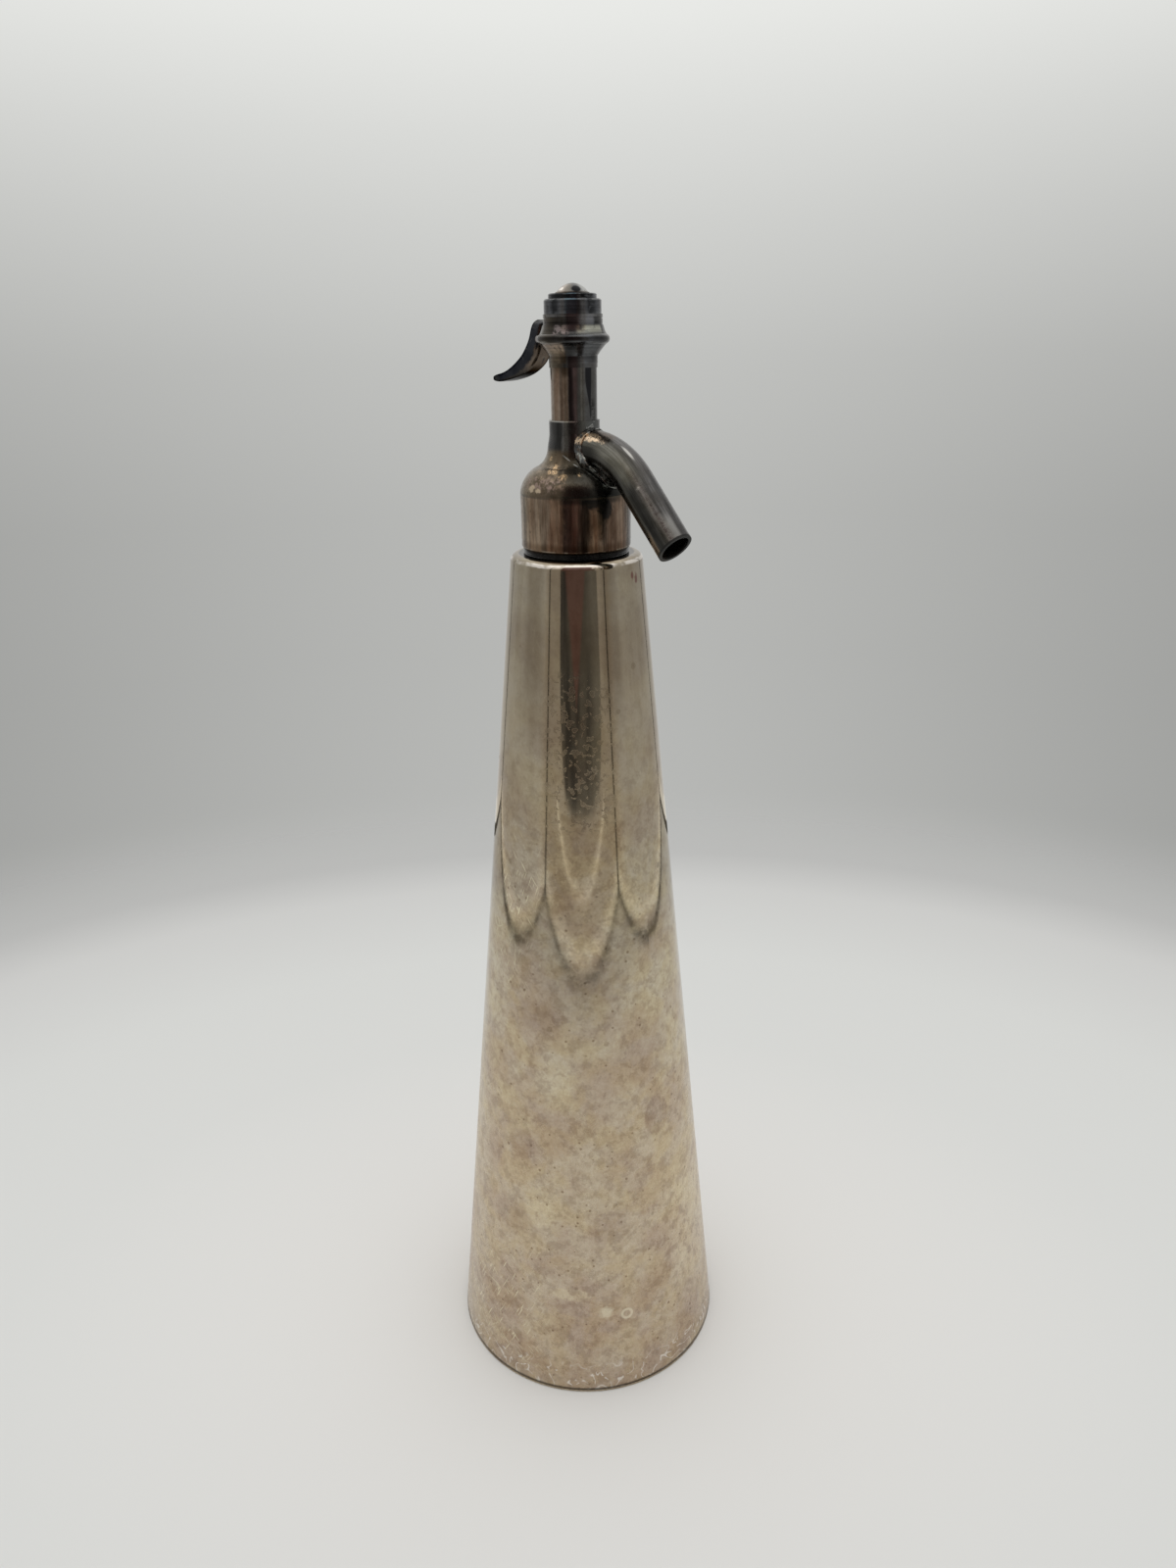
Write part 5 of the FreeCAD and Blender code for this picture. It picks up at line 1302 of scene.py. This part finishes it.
def light_tent():
    """The tent of white cloth round the siphon, as its plate mirrors it: open in front, with dark seams."""
    cloth = bare_material("tent_cloth")
    w = Wiring(cloth.node_tree)
    place = w.add("ShaderNodeTexCoord").outputs["Object"]
    x, y, z = w.along(place)[:3]
    from_middle = w.maths("ABSOLUTE", x)
    front = w.ease(y, -TENT_HALF * 0.6, -TENT_HALF)
    across = w.ease(from_middle, 0.2, TENT_HALF)
    dim = w.rest(w.either(w.times(front, 0.27), w.times(across, 0.12)))
    glow = w.lay(BLACK, wall_glow(w, z), dim)
    glow = w.tint(glow, (1.0, 0.93, 0.85), front)

    at_front = w.maths("LESS_THAN", y, -TENT_HALF + 0.002)
    wide = w.over(w.apart(x, SLOT_CENTRE), SLOT_HALF)
    sill = w.plus(SILL, w.times(w.maths("POWER", wide, 7.0), SILL_RISE))
    opening = w.both(at_front, w.maths("LESS_THAN", wide, 1.0), w.ease(z, sill, w.plus(sill, 0.006)))
    room = w.lay((0.125, 0.118, 0.108), (0.06, 0.058, 0.057), w.ease(w.grain(place, 0.12, 2.0), 0.4, 0.6))
    room = w.lay(room, (0.22, 0.21, 0.19), w.ease(x, 0.08, 0.24), 0.8)
    fold = w.minus(w.apart(x, FOLD_CENTRE), w.times(w.minus(z, FOLD_TOP), 1.4))
    room = w.lay(room, (0.19, 0.11, 0.10), w.ease(fold, 0.015, -0.01), 0.8)
    glow = w.lay(glow, room, opening)

    hem_height = w.plus(HEM_HEIGHT, w.times(w.both(x, x), HEM_SAG))
    hem = w.both(
        at_front,
        w.maths("LESS_THAN", w.apart(z, hem_height), HEM_HALF),
        w.maths("LESS_THAN", from_middle, HEM_REACH),
    )
    glow = w.lay(glow, (0.95, 0.93, 0.86), hem)
    corner = w.both(
        w.maths("GREATER_THAN", from_middle, TENT_HALF - SEAM_HALF),
        w.maths("GREATER_THAN", w.maths("ABSOLUTE", y), TENT_HALF - SEAM_HALF),
    )
    glow = w.lay(glow, (0.8, 0.79, 0.74), w.maths("LESS_THAN", z, 0.036), 0.8)
    foot = w.maths("LESS_THAN", z, 0.013)
    glow = w.lay(glow, (0.06, 0.055, 0.045), w.either(corner, foot))
    shader = w.add("ShaderNodeEmission", {"Color": glow, "Strength": 1.0})
    w.add("ShaderNodeOutputMaterial", {"Surface": shader.outputs[0]})

    shell = bmesh.new()
    bmesh.ops.create_cube(shell, size=2.0 * TENT_HALF)
    for vertex in shell.verts:
        vertex.co.z = TENT_FOOT if vertex.co.z < 0.0 else TENT_TOP
    floor = [face for face in shell.faces if face.normal.z < -0.5]
    bmesh.ops.delete(shell, geom=floor, context="FACES_ONLY")
    tent = studio_mesh("light_tent", shell, cloth)
    tent.rotation_euler = (0.0, 0.0, math.radians(TURNED_TO_CAMERA))
    # only metal and glass mirror the tent: it is not seen and throws no light or shade
    tent.visible_camera = False
    tent.visible_diffuse = False
    tent.visible_transmission = False
    tent.visible_shadow = False
    tent.visible_volume_scatter = False


def pale_floor():
    """The white sheet under the siphon. Further out it fades into the backdrop, as the camera sees it."""
    paper = bare_material("floor_sheet")
    w = Wiring(paper.node_tree)
    place = w.add("ShaderNodeTexCoord").outputs["Object"]
    to_camera = {"Vector": place, "Angle": math.radians(-TURNED_TO_CAMERA)}
    turned = w.add("ShaderNodeVectorRotate", to_camera, rotation_type="Z_AXIS").outputs[0]
    radius = w.length(w.vector("MULTIPLY", turned, (0.78, 1.0, 1.0)))
    # painted light: the sheet is paler close round the siphon, lifting its shadow there, and darker further
    # out, like a pool of light
    tone = w.ramp(
        radius,
        (
            (0.0, (0.79, 0.775, 0.745)), (0.12, (0.715, 0.71, 0.688)), (0.2, (0.668, 0.672, 0.652)),
            (0.3, (0.652, 0.658, 0.638)), (0.4, (0.60, 0.60, 0.585)), (0.46, (0.5, 0.5, 0.49)),
            (1.0, (0.45, 0.45, 0.44)),
        ),
    )
    sheet = w.add("ShaderNodeBsdfDiffuse", {"Color": tone})
    clear = w.add("ShaderNodeBsdfTransparent")
    seen = w.add("ShaderNodeLightPath").outputs["Is Camera Ray"]
    fade = w.both(seen, w.ease(radius, 0.4, 0.64))
    mix = w.add("ShaderNodeMixShader", {0: fade, 1: sheet.outputs[0], 2: clear.outputs[0]})
    w.add("ShaderNodeOutputMaterial", {"Surface": mix.outputs[0]})
    shell = bmesh.new()
    bmesh.ops.create_circle(shell, cap_ends=True, segments=96, radius=FLOOR_REACH)
    studio_mesh("pale_floor", shell, paper)


def backdrop():
    """The wall behind, as the camera, metal and glass see it, and plain white light for everything else."""
    world = bpy.data.worlds.new("backdrop")
    bpy.context.scene.world = world
    world.use_nodes = True
    world.node_tree.nodes.clear()
    w = Wiring(world.node_tree)
    x, y, z = w.along(w.add("ShaderNodeTexCoord").outputs["Generated"])[:3]
    # the sine of the elevation and the grey of the wall there
    greys = (
        (-0.5, 0.66), (-0.454, 0.52), (-0.4337, 0.497), (-0.375, 0.475), (-0.259, 0.468), (-0.139, 0.478),
        (-0.017, 0.535), (0.087, 0.635), (0.15, 0.71), (0.218, 0.81), (0.276, 0.86), (0.6, 1.0),
    )
    stops = [(0.5 + 0.5 * sine, (grey * 0.995, grey * 1.004, grey * 0.975)) for sine, grey in greys]
    wall = w.ramp(w.plus(w.times(z, 0.5), 0.5), stops)
    # painted shade: the wall darkens towards the tent's four corners, more so low down
    turn = w.minus(w.maths("ARCTAN2", y, x), math.radians(TURNED_TO_CAMERA + 90.0))
    corners = w.maths("MULTIPLY_ADD", w.maths("COSINE", w.times(turn, 4.0)), -0.5, 0.5)
    low = w.ease(z, 0.35, -0.15)
    wall = w.lay(wall, BLACK, corners, w.between(0.05, 0.3, low))
    seen = w.add("ShaderNodeBackground", {"Color": wall, "Strength": 1.0})
    plain = w.add("ShaderNodeBackground", {"Color": (0.92, 0.92, 0.92, 1.0), "Strength": 1.0})
    path = w.add("ShaderNodeLightPath").outputs
    direct = w.either(path["Is Camera Ray"], path["Is Glossy Ray"], path["Is Transmission Ray"])
    mix = w.add("ShaderNodeMixShader", {0: direct, 1: plain.outputs[0], 2: seen.outputs[0]})
    w.add("ShaderNodeOutputWorld", {"Surface": mix.outputs[0]})


def soft_lamp():
    """A wide soft lamp overhead, which gives the floor its faint shadow."""
    light = bpy.data.lights.new("top_lamp", "AREA")
    light.shape = "DISK"
    light.size = 0.7
    light.energy = 1.2
    lamp = bpy.data.objects.new("top_lamp", light)
    lamp.location = (0.0, 0.0, 0.9)
    lamp.visible_camera = False
    lamp.visible_glossy = False
    bpy.context.scene.collection.objects.link(lamp)


# Where the camera stands, in metres, and how it is turned round, down and to the side, in degrees.
EYE_PLACE = (0.2845, -0.2614, 0.3969)
EYE_TURN = 47.0
EYE_DOWN = 21.706
EYE_ROLL = -0.7717


def camera():
    eye = bpy.data.cameras.new("camera")
    eye.lens = 25.875
    eye.sensor_width = 36.0
    eye.clip_start = 0.01
    holder = bpy.data.objects.new("camera", eye)
    tilt = Matrix.Rotation(math.radians(EYE_TURN), 4, "Z")
    tilt = tilt @ Matrix.Rotation(math.radians(90.0 - EYE_DOWN), 4, "X")
    tilt = tilt @ Matrix.Rotation(math.radians(EYE_ROLL), 4, "Z")
    holder.matrix_world = Matrix.Translation(EYE_PLACE) @ tilt
    bpy.context.scene.collection.objects.link(holder)
    bpy.context.scene.camera = holder


camera()
light_tent()
pale_floor()
backdrop()
soft_lamp()
bpy.context.scene.view_settings.view_transform = "Standard"
